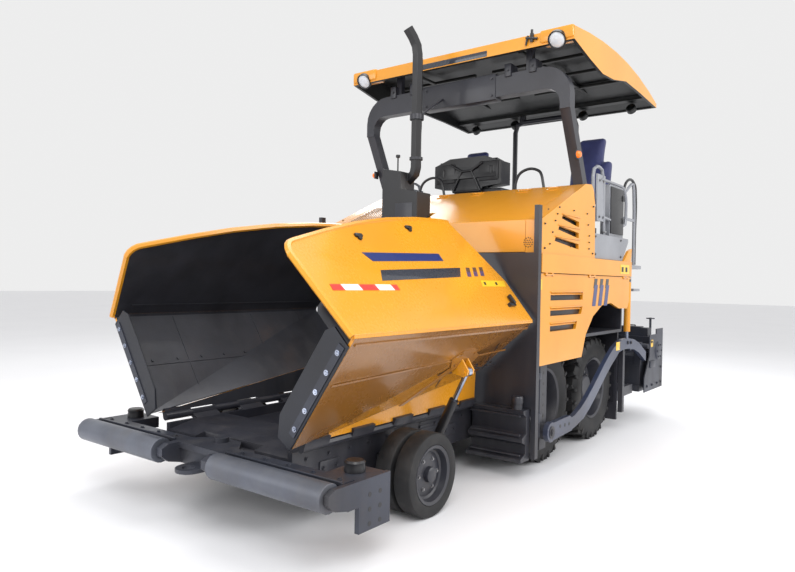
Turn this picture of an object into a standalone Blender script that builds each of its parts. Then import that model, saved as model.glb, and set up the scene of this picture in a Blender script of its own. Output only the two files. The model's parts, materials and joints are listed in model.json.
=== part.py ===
"""Asphalt paver on wheels: hopper, push rollers, engine body, canopy, tow arms, auger and screed.

Metres, +Z up. The hopper points to -Y and the machine's left side is +X. The origin lies on the
ground under the middle of the machine.
"""
import math

import bmesh
import bpy
from mathutils import Matrix, Vector

# ---- Driving dimensions -------------------------------------------------------------------
GAP = 0.0003                  # running gap between two pieces that touch
SPIN_PLAY = 0.0009            # play round a spindle inside a faceted bore
BODY_HALF = 1.20              # centre to the outer face of the body panels
SHEET = 0.03                  # thickness of body sheet and frame plate
DECK_Z = 1.79                 # walking height of the operator's platform
BODY_FRONT, BODY_REAR = -0.565, 1.66
BAND_LOW, BAND_TOP = 1.66, 1.816     # the band between the upper panel and the flap door
NOSE_TOP = 2.09               # top of the hood's front face
PEAK_Y, PEAK_Z = 0.36, 2.49   # rear top edge of the hood
HOOD_HALF = 1.06              # half width of the lifting part of the hood
FRAME_DECK = 1.07             # underside of the engine bay's floor
STACK_X0, STACK_X1 = -0.46, -0.05    # exhaust stack box
STACK_Y0, STACK_Y1 = -0.55, -0.33
NOTCH_ROOM = 0.08             # room behind the stack box for the hood's swing

BULKHEAD_Y = -0.63            # front face of the plate behind the hopper
BULKHEAD_TOP = 1.82
STRIP_TOP = 2.20
BOX_FRONT = -0.78             # foremost ledge of the step boxes

CHASSIS_HALF = 0.64           # outer face of the hopper's chassis beams
CHASSIS_FRONT = -2.74
CHASSIS_LOW, CHASSIS_TOP = 0.26, 0.53
FLOOR_Z = 0.46                # top of the conveyor floor
TUNNEL_HALF = 0.54            # half width of the conveyor tunnel, inside
TUNNEL_TOP = 0.93
TUNNEL_END = 1.62

DOOR_HINGES = (-0.40, 0.55, 1.50)    # middles of a side door's hinges
DOOR_PIN_X, DOOR_PIN_Z = 1.203, 1.646

HINGE_X, HINGE_Z = 0.69, 0.56        # hopper wing's hinge line
WING_FRONT, WING_REAR = -2.83, -0.69
CREASE_X, CREASE_Z = 1.18, 1.27      # fold between the lower and the upper wing panel
UPPER_LEAN = math.radians(130)       # upper panel's direction, measured from outboard
UPPER_LENGTH = 1.02
WING_SHEET = 0.02
FOLD_RISE = 0.28              # rear height of the upright wedge at the hinge
FLAP_WIDTH = 0.17

ROLLER_RADIUS, ROLLER_Z, ROLLER_Y = 0.08, 0.445, -3.017
ROLLER_IN, ROLLER_OUT = 0.277, 1.205
BAR_FRONT, BAR_REAR = -2.92, -2.81
BAR_LOW, BAR_TOP = 0.36, 0.50
BAR_HALF = 1.245
END_PLATE_REAR, END_PLATE_LOW = -2.56, 0.215

FRONT_AXLE_Y = -1.85
SMALL_RADIUS, SMALL_WIDTH = 0.28, 0.135
SMALL_RIM = 0.20
KINGPIN_X = 0.70
SMALL_IN, SMALL_OUT = 0.84, 1.0      # middles of the inner and the outer front tyre
DRIVE_Y = (-0.08, 1.07)              # axles of the tandem drive wheels
DRIVE_RADIUS, DRIVE_WIDTH = 0.52, 0.34
DRIVE_X = 0.88                       # middle of the drive tyres
DRIVE_RIM = 0.30
SMALL_SIDES, DRIVE_SIDES = 16, 20    # flats round the tyres
TYRE_ROOM = 0.013             # depth of the pockets before and behind the drive tyres

CYLINDER_Y = -1.44
ROD_EYE_X, ROD_EYE_Z = 1.06, 0.93
BARREL_X, BARREL_Z = 0.77, 0.34
BARREL_RADIUS, ROD_RADIUS = 0.036, 0.018
EYE_RADIUS, PIN_RADIUS = 0.034, 0.014
EYE_PLAY = 0.010              # play of a rod's eye on its pin

CANOPY_HALF = 1.25
CANOPY_FRONT, CANOPY_REAR = -0.09, 2.30
CANOPY_TOP = 3.79
SKIN = 0.03                   # thickness of the canopy's skin
ARCH_FOOT_Y, ARCH_TOP_Y = 0.43, 0.10
ARCH_X = 1.115
ARCH_TOP = 3.53
ARCH_DEPTH, ARCH_WIDTH = 0.20, 0.11
REAR_ARCH_Y, REAR_ARCH_X, REAR_TUBE = 2.05, 0.40, 0.03

TOW_X = 1.20                  # middle plane of the tow arms
TOW_PIN_Y, TOW_PIN_Z = -0.33, 0.33
ARM_THICK = 0.045

SCREED_FRONT, SCREED_REAR = 2.14, 2.80
SCREED_LOW = 0.36
WALKWAY = 0.297               # reach of the walkway behind the screed
PLATE_X = 1.235               # outer face of the screed's end plates
AUGER_Y, AUGER_Z, AUGER_RADIUS = 1.90, 0.42, 0.17
AUGER_IN, AUGER_OUT = 0.11, 1.10     # ends of an auger's shaft
GUIDE_RISE, GUIDE_RADIUS = 0.51, 0.03      # screed extensions' guide tubes
CONSOLE_X = -0.28             # middle of the control console
LIFT_X, LIFT_Y = 1.13, 1.80          # screed's lift cylinders
LIFT_TOP, LIFT_LOW = 1.62, 0.90

# ---- Materials ----------------------------------------------------------------------------
MATERIALS = {
    "yellow_paint": ((0.83, 0.36, 0.04), 0.35, 0.0),
    "dark_steel": ((0.045, 0.045, 0.052), 0.45, 0.4),
    "grey_steel": ((0.10, 0.10, 0.115), 0.4, 0.5),
    "silver_paint": ((0.42, 0.42, 0.44), 0.4, 0.4),
    "chrome": ((0.75, 0.77, 0.82), 0.12, 1.0),
    "rubber": ((0.02, 0.02, 0.022), 0.8, 0.0),
    "plastic": ((0.025, 0.025, 0.028), 0.5, 0.0),
    "seat_cover": ((0.02, 0.03, 0.11), 0.85, 0.0),
}


def clear_scene():
    for obj in list(bpy.data.objects):
        bpy.data.objects.remove(obj, do_unlink=True)


def make_materials():
    for name, (colour, rough, metal) in MATERIALS.items():
        mat = bpy.data.materials.new(name)
        mat.use_nodes = True
        shader = mat.node_tree.nodes["Principled BSDF"]
        shader.inputs["Base Color"].default_value = (*colour, 1.0)
        shader.inputs["Roughness"].default_value = rough
        shader.inputs["Metallic"].default_value = metal


# ---- Shape helpers ------------------------------------------------------------------------
def finished(bm):
    bmesh.ops.remove_doubles(bm, verts=bm.verts, dist=1e-5)
    bmesh.ops.recalc_face_normals(bm, faces=bm.faces)
    return bm


def loft(rings, closed=False):
    """Solid from rings of equally many points; closed joins the last ring to the first."""
    bm = bmesh.new()
    rows = [[bm.verts.new(p) for p in ring] for ring in rings]
    pairs = list(zip(rows, rows[1:])) + ([(rows[-1], rows[0])] if closed else [])
    for low, high in pairs:
        for i in range(len(low)):
            j = (i + 1) % len(low)
            bm.faces.new((low[i], low[j], high[j], high[i]))
    if not closed:
        bm.faces.new(rows[0])
        bm.faces.new(rows[-1])
    return finished(bm)


def block(x0, x1, y0, y1, z0, z1):
    corners = ((x0, y0), (x1, y0), (x1, y1), (x0, y1))
    return loft([[(x, y, z) for x, y in corners] for z in (z0, z1)])


def prism(axis, outline, low, high):
    """Outline in the two other axes, in the order X, Y, Z, pushed from low to high."""
    place = {"X": lambda a, b, t: (t, a, b), "Y": lambda a, b, t: (a, t, b),
             "Z": lambda a, b, t: (a, b, t)}[axis]
    return loft([[place(a, b, t) for a, b in outline] for t in (low, high)])


def slab(origin, along, up, outline, thickness):
    """Flat plate: outline in (along, up) directions from origin, pushed along their normal."""
    along, up = Vector(along).normalized(), Vector(up).normalized()
    push = along.cross(up).normalized() * thickness
    flat = [Vector(origin) + along * a + up * b for a, b in outline]
    return loft([flat, [p + push for p in flat]])


def frame_for(axis):
    return {"X": Matrix.Rotation(math.pi / 2, 4, "Y"), "Y": Matrix.Rotation(-math.pi / 2, 4, "X"),
            "Z": Matrix.Identity(4)}[axis]


def turned(axis, centre, profile, sides=24, start=0.0):
    """Profile of (radius, distance along axis), turned about the axis through centre.

    A profile that starts and ends on the axis makes a solid with no bore. With a start of
    half a step the solid stands on a flat.
    """
    place = Matrix.Translation(centre) @ frame_for(axis)
    turns = [2 * math.pi * (k + start) / sides for k in range(sides)]
    bm = bmesh.new()
    rows = []
    for r, z in profile:
        spots = [(r * math.cos(t), r * math.sin(t), z) for t in turns] if r else [(0, 0, z)]
        rows.append([bm.verts.new(place @ Vector(p)) for p in spots])
    pairs = list(zip(rows, rows[1:])) + ([(rows[-1], rows[0])] if profile[0][0] else [])
    for low, high in pairs:
        for i in range(sides):
            j = (i + 1) % sides
            face = [low[i % len(low)], low[j % len(low)], high[j % len(high)], high[i % len(high)]]
            bm.faces.new(list(dict.fromkeys(face)))
    return finished(bm)


def rod(a, b, radius, sides=8):
    """Straight round bar between two points."""
    a, b = Vector(a), Vector(b)
    turn = (b - a).to_track_quat("Z", "Y")
    ring = [turn @ Vector((radius * math.cos(t), radius * math.sin(t), 0))
            for t in (2 * math.pi * k / sides for k in range(sides))]
    return loft([[p + a for p in ring], [p + b for p in ring]])


def loose(radius, sides):
    """Radius of a faceted bore in which a faceted pin of that radius turns freely."""
    return (radius + GAP) / math.cos(math.pi / sides)


def swept(path, section):
    """Solid along path with the section's (side, up) points; side starts out nearest to X."""
    path = [Vector(p) for p in path]
    tangent = (path[1] - path[0]).normalized()
    guide = Vector((1, 0, 0)) if abs(tangent.x) < 0.9 else Vector((0, 1, 0))
    side = (guide - tangent * tangent.dot(guide)).normalized()
    rings = []
    for i, here in enumerate(path):
        ahead = path[min(i + 1, len(path) - 1)] - path[max(i - 1, 0)]
        fresh = ahead.normalized()
        side = tangent.rotation_difference(fresh) @ side
        tangent = fresh
        up = tangent.cross(side).normalized()
        rings.append([here + side * a + up * b for a, b in section])
    return loft(rings)


def circle(radius, sides=6):
    return [(radius * math.cos(a), radius * math.sin(a))
            for a in (2 * math.pi * (k + 0.5) / sides for k in range(sides))]


def bent(points, section, corner=0.06, steps=2):
    """Sweep along points whose corners are rounded; a number as section is a radius."""
    points = [Vector(p) for p in points]
    path = [points[0]]
    for before, here, after in zip(points, points[1:], points[2:]):
        into, out = (before - here), (after - here)
        cut = min(corner, into.length / 2.1, out.length / 2.1)
        start, end = here + into.normalized() * cut, here + out.normalized() * cut
        path += [start * (1 - k / steps) ** 2 + here * 2 * (k / steps) * (1 - k / steps)
                 + end * (k / steps) ** 2 for k in range(steps + 1)]
    path.append(points[-1])
    return swept(path, circle(section) if isinstance(section, float) else section)


def arc(cx, cy, radius, start, end, steps=6):
    """Points on a circle from start to end, in degrees."""
    turns = [math.radians(start + (end - start) * k / steps) for k in range(steps + 1)]
    return [(cx + radius * math.cos(t), cy + radius * math.sin(t)) for t in turns]


def mirrored(bm, side):
    """The left-hand shape for side 1, its mirror image for side -1."""
    if side < 0:
        bmesh.ops.scale(bm, vec=(-1, 1, 1), verts=bm.verts)
        bmesh.ops.recalc_face_normals(bm, faces=bm.faces)
    return bm


def temporary(bm):
    mesh = bpy.data.meshes.new("piece")
    bm.to_mesh(mesh)
    bm.free()
    obj = bpy.data.objects.new("piece", mesh)
    obj.hide_render = True
    obj.display_type = "WIRE"
    bpy.context.scene.collection.objects.link(obj)
    return obj


def combine(base, pieces, operation):
    for piece in pieces:
        cut = base.modifiers.new("step", "BOOLEAN")
        cut.solver = "EXACT"
        cut.operation = operation
        cut.object = piece


def node(name, material, pieces, cuts=(), side=1, origin=(0, 0, 0), adds=(), smooth=30):
    """One named solid: pieces joined, cuts taken away, then adds joined; mirrored to its side."""
    pieces = [temporary(mirrored(bm, side)) for bm in pieces]
    cuts = [temporary(mirrored(bm, side)) for bm in cuts]
    adds = [temporary(mirrored(bm, side)) for bm in adds]
    base = pieces[0]
    combine(base, pieces[1:], "UNION")
    combine(base, cuts, "DIFFERENCE")
    combine(base, adds, "UNION")
    bpy.context.view_layer.update()
    view = base.evaluated_get(bpy.context.evaluated_depsgraph_get())
    mesh = bpy.data.meshes.new_from_object(view)
    mesh.name = name
    mesh.materials.clear()
    mesh.materials.append(bpy.data.materials[material])
    mesh.shade_smooth()
    mesh.set_sharp_from_angle(angle=math.radians(smooth))
    for piece in pieces + cuts + adds:
        bpy.data.objects.remove(piece, do_unlink=True)
    place = Vector((origin[0] * side, origin[1], origin[2]))
    mesh.transform(Matrix.Translation(-place))
    obj = bpy.data.objects.new(name, mesh)
    obj.location = place
    bpy.context.scene.collection.objects.link(obj)
    return obj


def hand(side):
    return "left" if side > 0 else "right"


# ---- Chassis ------------------------------------------------------------------------------
def build_frame():
    """Root: hopper chassis, bulkhead, conveyor tunnel, engine bay floor and rear brackets."""
    beam_in, rear = CHASSIS_HALF - 0.04, BULKHEAD_Y + SHEET
    low_floor = FLOOR_Z - SHEET
    wall = TUNNEL_HALF + SHEET
    pieces = [
        block(-CHASSIS_HALF + 0.01, CHASSIS_HALF - 0.01, CHASSIS_FRONT, TUNNEL_END, low_floor,
              FLOOR_Z),
        prism("X", ((CHASSIS_FRONT, low_floor), (-2.25, low_floor), (-2.25, FLOOR_Z + 0.07),
                    (-2.55, FLOOR_Z + 0.07), (CHASSIS_FRONT, FLOOR_Z + 0.03)), -0.62, 0.62),
        prism("Y", ((-0.06, FLOOR_Z - 0.01), (0.06, FLOOR_Z - 0.01), (0.035, FLOOR_Z + 0.06),
                    (-0.035, FLOOR_Z + 0.06)), -2.30, 1.40),
        block(-BODY_HALF, BODY_HALF, BULKHEAD_Y, rear, HINGE_Z, BULKHEAD_TOP),
        block(-CHASSIS_HALF, CHASSIS_HALF, BULKHEAD_Y, rear, CHASSIS_LOW, HINGE_Z + 0.01),
        block(-wall, wall, rear - 0.01, TUNNEL_END, TUNNEL_TOP, TUNNEL_TOP + SHEET),
        block(-1.14, 1.14, rear - 0.01, 1.60, FRAME_DECK, FRAME_DECK + SHEET),
        block(-0.50, 0.50, -0.40, 1.50, TUNNEL_TOP + 0.01, FRAME_DECK + 0.01),
        block(-1.14, 1.14, 1.57, 1.60, FRAME_DECK, DECK_Z - 0.04 - GAP),
        block(-1.14, 1.14, 0.53, 0.56, FRAME_DECK, DECK_Z - 0.04 - GAP),
        block(-0.08, 0.08, FRONT_AXLE_Y - 0.09, FRONT_AXLE_Y + 0.09, 0.36 + GAP, low_floor + 0.01),
        block(-0.10, 0.10, -2.80, -2.60, 0.39, low_floor + 0.01),
    ]
    cuts = [
        block(-TUNNEL_HALF, TUNNEL_HALF, BULKHEAD_Y - 0.1, rear + 0.1, FLOOR_Z + 0.001, TUNNEL_TOP),
        block(-0.30, 0.30, -2.80, -2.665, FLOOR_Z, 0.60),
        rod((0, -2.76, 0.30), (0, -2.76, 0.50), loose(0.03, 12), 12),
    ]
    for s in (1, -1):
        cuts.append(mirrored(block(0.55, 1.0, FRONT_AXLE_Y - 0.09, FRONT_AXLE_Y + 0.09, 0.1,
                                   0.372), s))
        for low, high in ((rear - TYRE_ROOM, rear + 0.001), (1.589, 1.59 + TYRE_ROOM)):
            cuts.append(mirrored(block(0.695, 1.065, low, high, 0.30, 0.74), s))
        pieces += [
            mirrored(block(beam_in, CHASSIS_HALF, CHASSIS_FRONT, rear, CHASSIS_LOW, CHASSIS_TOP), s),
            mirrored(block(TUNNEL_HALF, wall, rear - 0.01, TUNNEL_END, low_floor + 0.01,
                           TUNNEL_TOP + 0.01), s),
            mirrored(block(BODY_HALF - SHEET, BODY_HALF + 0.012, BULKHEAD_Y, -0.575, 0.16,
                           STRIP_TOP), s),
            mirrored(block(wall - 0.01, BODY_HALF - 0.01, -0.615, rear - 0.005, 0.50, 0.60), s),
            mirrored(block(0.70, 1.10, 1.62 - 0.03, 1.62, 0.12, FRAME_DECK + 0.01), s),
            mirrored(block(wall - 0.01, 0.71, 1.50, 1.62, 0.50, 0.60), s),
            mirrored(block(wall - 0.01, 0.71, -0.30, 1.30, 0.62, 0.72), s),
        ]
        for y in DRIVE_Y:
            pieces.append(mirrored(block(wall - 0.01, 0.69, y - 0.16, y + 0.16, 0.38, 0.70), s))
            pieces.append(mirrored(rod((0.66, y, DRIVE_RADIUS), (DRIVE_X - 0.05 - GAP, y,
                                       DRIVE_RADIUS), 0.13, 14), s))
        pieces += [mirrored(bm, s) for bm in tow_guide() + lift_bracket() + barrel_bracket()
                   + wing_knuckles()]
    node("main_frame", "dark_steel", pieces, cuts)


def wing_knuckles():
    """The chassis half of the hopper wing's hinge."""
    pieces = []
    for y0, y1 in hinge_parts(1):
        pieces += [rod((HINGE_X, y0, HINGE_Z), (HINGE_X, y1, HINGE_Z), 0.028),
                   prism("Y", ((0.61, CHASSIS_TOP - 0.03), (HINGE_X, HINGE_Z - 0.027),
                               (HINGE_X, HINGE_Z + 0.01), (0.61, CHASSIS_TOP)), y0, y1)]
    return pieces


def tow_guide():
    """Upright guide behind the bulkhead, with the fork that holds the tow arm's front pin."""
    inner = TOW_X - ARM_THICK / 2 - GAP
    return [
        block(1.09, 1.14, TOW_PIN_Y - 0.06, TOW_PIN_Y + 0.06, 0.18, 0.90),
        block(1.09, 1.14, -0.62, TOW_PIN_Y, 0.80, 0.90),
        block(1.09, 1.18, -0.62, -0.57, 0.80, 0.90),
        rod((1.13, TOW_PIN_Y, TOW_PIN_Z), (inner, TOW_PIN_Y, TOW_PIN_Z), 0.07, 12),
        rod((inner - 0.01, TOW_PIN_Y, TOW_PIN_Z), (1.235, TOW_PIN_Y, TOW_PIN_Z), 0.03, 12),
    ]


def lift_bracket():
    """Rear bracket that carries the top pin of the screed's lift cylinder."""
    return [
        prism("X", ((1.59, 1.35), (1.86, 1.55), (1.86, LIFT_TOP + 0.05), (1.59, LIFT_TOP + 0.05)),
              1.05, 1.085),
        rod((1.08, LIFT_Y, LIFT_TOP), (LIFT_X + 0.03, LIFT_Y, LIFT_TOP), PIN_RADIUS, 12),
    ]


def barrel_bracket():
    """Bracket beside the chassis beam with the lower pin of the wing cylinder."""
    y = CYLINDER_Y
    return [
        block(CHASSIS_HALF - 0.01, BARREL_X + 0.05, y + 0.04, y + 0.06, BARREL_Z - 0.06,
              BARREL_Z + 0.05),
        rod((BARREL_X, y - 0.035, BARREL_Z), (BARREL_X, y + 0.05, BARREL_Z), PIN_RADIUS, 12),
    ]


def build_engine():
    node("engine_block", "dark_steel",
         [block(-0.42, 0.42, -0.30, 0.50, FRAME_DECK + SHEET + GAP, 1.72)])


def build_front_axle():
    """Oscillating beam under the floor, ending in the forks of the steering knuckles."""
    y = FRONT_AXLE_Y
    pieces = [block(-0.64, 0.64, y - 0.07, y + 0.07, 0.22, 0.36)]
    for s in (1, -1):
        x = s * KINGPIN_X
        pieces += [mirrored(block(0.60, KINGPIN_X, y - 0.05, y + 0.05, 0.345, 0.365), s),
                   mirrored(block(0.60, KINGPIN_X, y - 0.05, y + 0.05, 0.205, 0.225), s),
                   rod((x, y, 0.205), (x, y, 0.225), 0.05, 12),
                   rod((x, y, 0.345), (x, y, 0.365), 0.05, 12),
                   rod((x, y, 0.20), (x, y, 0.37), 0.02, 12)]
    node("front_axle", "dark_steel", pieces)


def build_front_wheels(side):
    """Steering knuckle and the pair of solid-tyred wheels that turn on its spindle."""
    y, z = FRONT_AXLE_Y, SMALL_RADIUS
    origin = (KINGPIN_X, y, z)
    node(f"steering_knuckle_{hand(side)}", "grey_steel",
         [rod((KINGPIN_X, y, 0.2253), (KINGPIN_X, y, 0.3447), 0.05, 12),
          rod((KINGPIN_X + 0.02, y, z), (SMALL_OUT + 0.02, y, z), 0.035, 12),
          block(KINGPIN_X - 0.02, KINGPIN_X + 0.02, y, y + 0.095, 0.27, 0.30)],
         [rod((KINGPIN_X, y, 0.1), (KINGPIN_X, y, 0.5), loose(0.02, 12), 12)], side, origin)
    half = SMALL_WIDTH / 2
    gap = (SMALL_OUT - SMALL_IN) / 2 - half
    mid = (SMALL_IN + SMALL_OUT) / 2
    centre = (mid, y, z)
    edge = half + (SMALL_OUT - SMALL_IN) / 2
    inner, bore, tip = 0.17, 0.035 + SPIN_PLAY, SMALL_OUT + 0.02 + GAP - mid
    tread = SMALL_RADIUS / math.cos(math.pi / SMALL_SIDES)
    outline = [(0, tip), (bore, tip), (bore, -edge + 0.03), (0.07, -edge + 0.03), (0.07, -0.02),
               (inner, -0.02), (inner, -edge + 0.01), (SMALL_RIM, -edge),
               (SMALL_RADIUS - 0.012, -edge), (tread, -edge + 0.02),
               (tread, -gap - 0.012), (SMALL_RADIUS - 0.012, -gap), (SMALL_RIM, -gap),
               (SMALL_RIM, gap), (SMALL_RADIUS - 0.012, gap), (tread, gap + 0.012),
               (tread, edge - 0.02), (SMALL_RADIUS - 0.012, edge), (SMALL_RIM, edge),
               (inner, edge - 0.01), (inner, 0.06), (0.07, 0.06), (0.07, edge - 0.03),
               (0, edge - 0.03)]
    node(f"front_wheels_{hand(side)}", "rubber", [turned("X", centre, outline, SMALL_SIDES, 0.5)],
         side=side, origin=centre)


def build_drive_wheel(side, index):
    y, z, x = DRIVE_Y[index], DRIVE_RADIUS, DRIVE_X
    half, shoulder = DRIVE_WIDTH / 2, 0.05
    rim_in, disc = DRIVE_RIM - 0.04, 0.05
    tread = DRIVE_RADIUS / math.cos(math.pi / DRIVE_SIDES)
    outline = [(0, -disc), (rim_in, -disc), (rim_in, -half + 0.03), (DRIVE_RIM, -half + 0.02),
               (DRIVE_RADIUS - shoulder, -half),
               (tread, -half + shoulder), (tread, half - shoulder),
               (DRIVE_RADIUS - shoulder, half),
               (DRIVE_RIM, half - 0.02), (rim_in, half - 0.03), (rim_in, 0.02), (0.15, 0.02),
               (0.14, 0.09), (0, 0.09)]
    place = ("front", "rear")[index]
    node(f"drive_wheel_{place}_{hand(side)}", "rubber",
         [turned("X", (x, y, z), outline, DRIVE_SIDES, 0.5)], side=side, origin=(x, y, z))


# ---- Push bar -----------------------------------------------------------------------------
def build_push_bar():
    """Beam across the front on a centre pin, with brackets for the two rollers."""
    z = ROLLER_Z
    pieces = [block(-1.20, 1.20, BAR_FRONT, BAR_REAR, BAR_LOW, BAR_TOP),
              prism("Z", ((-0.24, BAR_FRONT - 0.02), (0.24, BAR_FRONT - 0.02), (0.24, BAR_REAR),
                          (0.10, -2.68), (-0.10, -2.68), (-0.24, BAR_REAR)), 0.4602, 0.50),
              rod((0, -2.76, 0.50), (0, -2.76, 0.53), 0.05, 12),
              rod((0, -3.0, 0.36), (0, -3.0, 0.385), 0.09, 14),
              block(-0.09, 0.09, -3.0, BAR_FRONT + 0.01, 0.36, 0.385)]
    cuts = [rod((0, -3.01, 0.30), (0, -3.01, 0.45), 0.04, 12),
            block(-0.104, 0.104, -2.804, -2.6, 0.385, 0.46)]
    for s in (1, -1):
        for x0, x1 in ((0.20, ROLLER_IN - 0.02), (ROLLER_OUT + 0.005, BAR_HALF)):
            pieces.append(mirrored(prism("X", ((BAR_FRONT + 0.01, BAR_LOW), (ROLLER_Y, z - 0.06),
                                   (ROLLER_Y - 0.05, z - 0.02), (ROLLER_Y - 0.05, z + 0.03),
                                   (ROLLER_Y, z + 0.055), (BAR_FRONT + 0.01, BAR_TOP)), x0, x1), s))
        pieces.append(rod((s * (ROLLER_IN - 0.03), ROLLER_Y, z), (s * (ROLLER_OUT + 0.02),
                          ROLLER_Y, z), 0.02, 12))
        pieces += [mirrored(bm, s) for bm in (
            block(1.215, BAR_HALF, BAR_REAR - 0.02, END_PLATE_REAR, END_PLATE_LOW, 0.50),
            block(1.215, BAR_HALF, BAR_FRONT, BAR_REAR, BAR_LOW, BAR_TOP),
            block(0.98, 1.22, BAR_REAR - 0.02, END_PLATE_REAR - 0.02, 0.42, 0.50),
            rod((1.10, -2.70, 0.495), (1.10, -2.70, 0.56), 0.055, 12))]
    pin = rod((0, -2.76, 0.32), (0, -2.76, 0.52), 0.03, 12)
    node("push_bar", "grey_steel", pieces, cuts, origin=(0, -2.76, 0.45), adds=[pin])


def build_roller(side):
    bore, r = 0.02 + SPIN_PLAY, ROLLER_RADIUS
    length = ROLLER_OUT - ROLLER_IN
    outline = [(bore, 0), (r, 0), (r, length), (bore, length)]
    node(f"push_roller_{hand(side)}", "grey_steel",
         [turned("X", (ROLLER_IN, ROLLER_Y, ROLLER_Z), outline, 20)], side=side,
         origin=((ROLLER_IN + ROLLER_OUT) / 2, ROLLER_Y, ROLLER_Z))


# ---- Hopper -------------------------------------------------------------------------------
def hinge_parts(first):
    """Ends of every second knuckle along the wing hinge, from the first or the second on."""
    start, end, count = -2.72, -0.76, 9
    step = (end - start) / count
    return [(start + k * step + GAP, start + (k + 1) * step - GAP)
            for k in range(first, count, 2)]


def upper_outline():
    """Upper wing panel as (y, distance up from the crease)."""
    top_y = -0.93
    corner_y, corner_up, radius = -2.86, 0.57, 0.10
    edge = arc(corner_y, corner_up, radius, 180, 100, 4)
    crown = [(y, UPPER_LENGTH - 0.095 * (y - top_y) ** 2)
             for y in (-2.55, -2.2, -1.8, -1.4, -1.1, top_y)]
    return ([(WING_REAR, -0.01), (WING_FRONT - 0.02, -0.01)] + edge + crown
            + [(-0.80, 0.72), (WING_REAR + 0.02, 0.39)])


def on_upper(y, up, out=0.0):
    c, s = math.cos(UPPER_LEAN), math.sin(UPPER_LEAN)
    return (CREASE_X + up * c + out * s, y, CREASE_Z + up * s - out * c)


def panel_normal():
    rise = Vector((CREASE_X - HINGE_X, 0, CREASE_Z - HINGE_Z)).normalized()
    return Vector((rise.z, 0, -rise.x))


def build_wing(side):
    """Hopper wing: sloping panel, upright wedge at the hinge, upper panel and rolled rim."""
    lift = 0.045
    rise = Vector((CREASE_X - HINGE_X, 0, CREASE_Z - HINGE_Z)).normalized()
    out = panel_normal() * WING_SHEET
    base = Vector((HINGE_X, 0, HINGE_Z)) + rise * lift
    fold_y = WING_REAR - 0.05
    fold = Vector((HINGE_X + 0.02, fold_y, HINGE_Z + FOLD_RISE))
    sheet = [Vector((base.x, WING_FRONT, base.z)), Vector((CREASE_X, WING_FRONT, CREASE_Z)),
             Vector((CREASE_X, WING_REAR, CREASE_Z)), fold]
    wedge = [(HINGE_X, WING_FRONT + 0.05, HINGE_Z + 0.035), (HINGE_X, fold_y, HINGE_Z + 0.035),
             (HINGE_X + 0.01, fold_y, HINGE_Z + FOLD_RISE + 0.012)]
    outline = upper_outline()
    rim = [on_upper(y, up, WING_SHEET / 2) for y, up in outline[1:-2]]
    pieces = [loft([sheet, [p + out for p in sheet]]),
              loft([wedge, [Vector(p) + Vector((WING_SHEET, 0, -0.004)) for p in wedge]]),
              slab((CREASE_X, 0, CREASE_Z), (0, 1, 0),
                   (math.cos(UPPER_LEAN), 0, math.sin(UPPER_LEAN)), outline, WING_SHEET),
              swept(rim, circle(0.021)),
              loft([[Vector((CREASE_X - 0.004, y, CREASE_Z - 0.022)),
                     Vector((CREASE_X + 0.02, y, CREASE_Z - 0.012)),
                     Vector((CREASE_X + 0.02, y, CREASE_Z + 0.012)),
                     Vector((CREASE_X - 0.012, y, CREASE_Z + 0.012))]
                    for y in (WING_FRONT - 0.01, WING_REAR)])]
    for y0, y1 in hinge_parts(0):
        pieces += [rod((HINGE_X, y0, HINGE_Z), (HINGE_X, y1, HINGE_Z), 0.028, 12),
                   prism("Y", ((HINGE_X - 0.008, HINGE_Z), (HINGE_X + 0.025, HINGE_Z - 0.005),
                               (HINGE_X + 0.045, HINGE_Z + 0.05), (HINGE_X + 0.006,
                               HINGE_Z + 0.06)), y0, y1)]
    pieces += wing_clevis()
    node(f"hopper_wing_{hand(side)}", "yellow_paint", pieces, side=side,
         origin=(HINGE_X, 0, HINGE_Z))
    build_flap(side, rise, out)


def wing_clevis():
    """Two lugs and a pin on the sloping panel that hold the cylinder rod's eye."""
    x, y, z = ROD_EYE_X, CYLINDER_Y, ROD_EYE_Z
    normal = panel_normal()
    along = Vector((-normal.z, 0, normal.x))
    foot = Vector((x, 0, z)) - normal * 0.078
    lug = [foot - along * 0.07, foot + along * 0.07, Vector((x, 0, z)) + along * 0.03 + normal * 0.02,
           Vector((x, 0, z)) + normal * 0.032, Vector((x, 0, z)) - along * 0.03 + normal * 0.02]
    pieces = [loft([[p + Vector((0, y + a, 0)) for p in lug] for a in pair])
              for pair in ((-0.045, -0.03), (0.03, 0.045))]
    pieces.append(rod((x, y - 0.055, z), (x, y + 0.055, z), PIN_RADIUS, 12))
    return pieces


def build_flap(side, rise, out):
    """Rubber flap along the wing's lower front edge."""
    front = WING_FRONT - GAP
    low = Vector((HINGE_X, front, HINGE_Z)) + rise * 0.03
    high = Vector((CREASE_X, front, CREASE_Z)) - rise * 0.06
    inward = -panel_normal() * FLAP_WIDTH
    face = [low + out, high + out, high + inward * 0.75 + rise * 0.03,
            high + inward - rise * 0.03, low + inward + rise * 0.12, low + inward * 0.6]
    node(f"hopper_flap_{hand(side)}", "rubber",
         [loft([face, [p - Vector((0, 0.015, 0)) for p in face]])], side=side,
         origin=(HINGE_X, 0, HINGE_Z))


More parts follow.
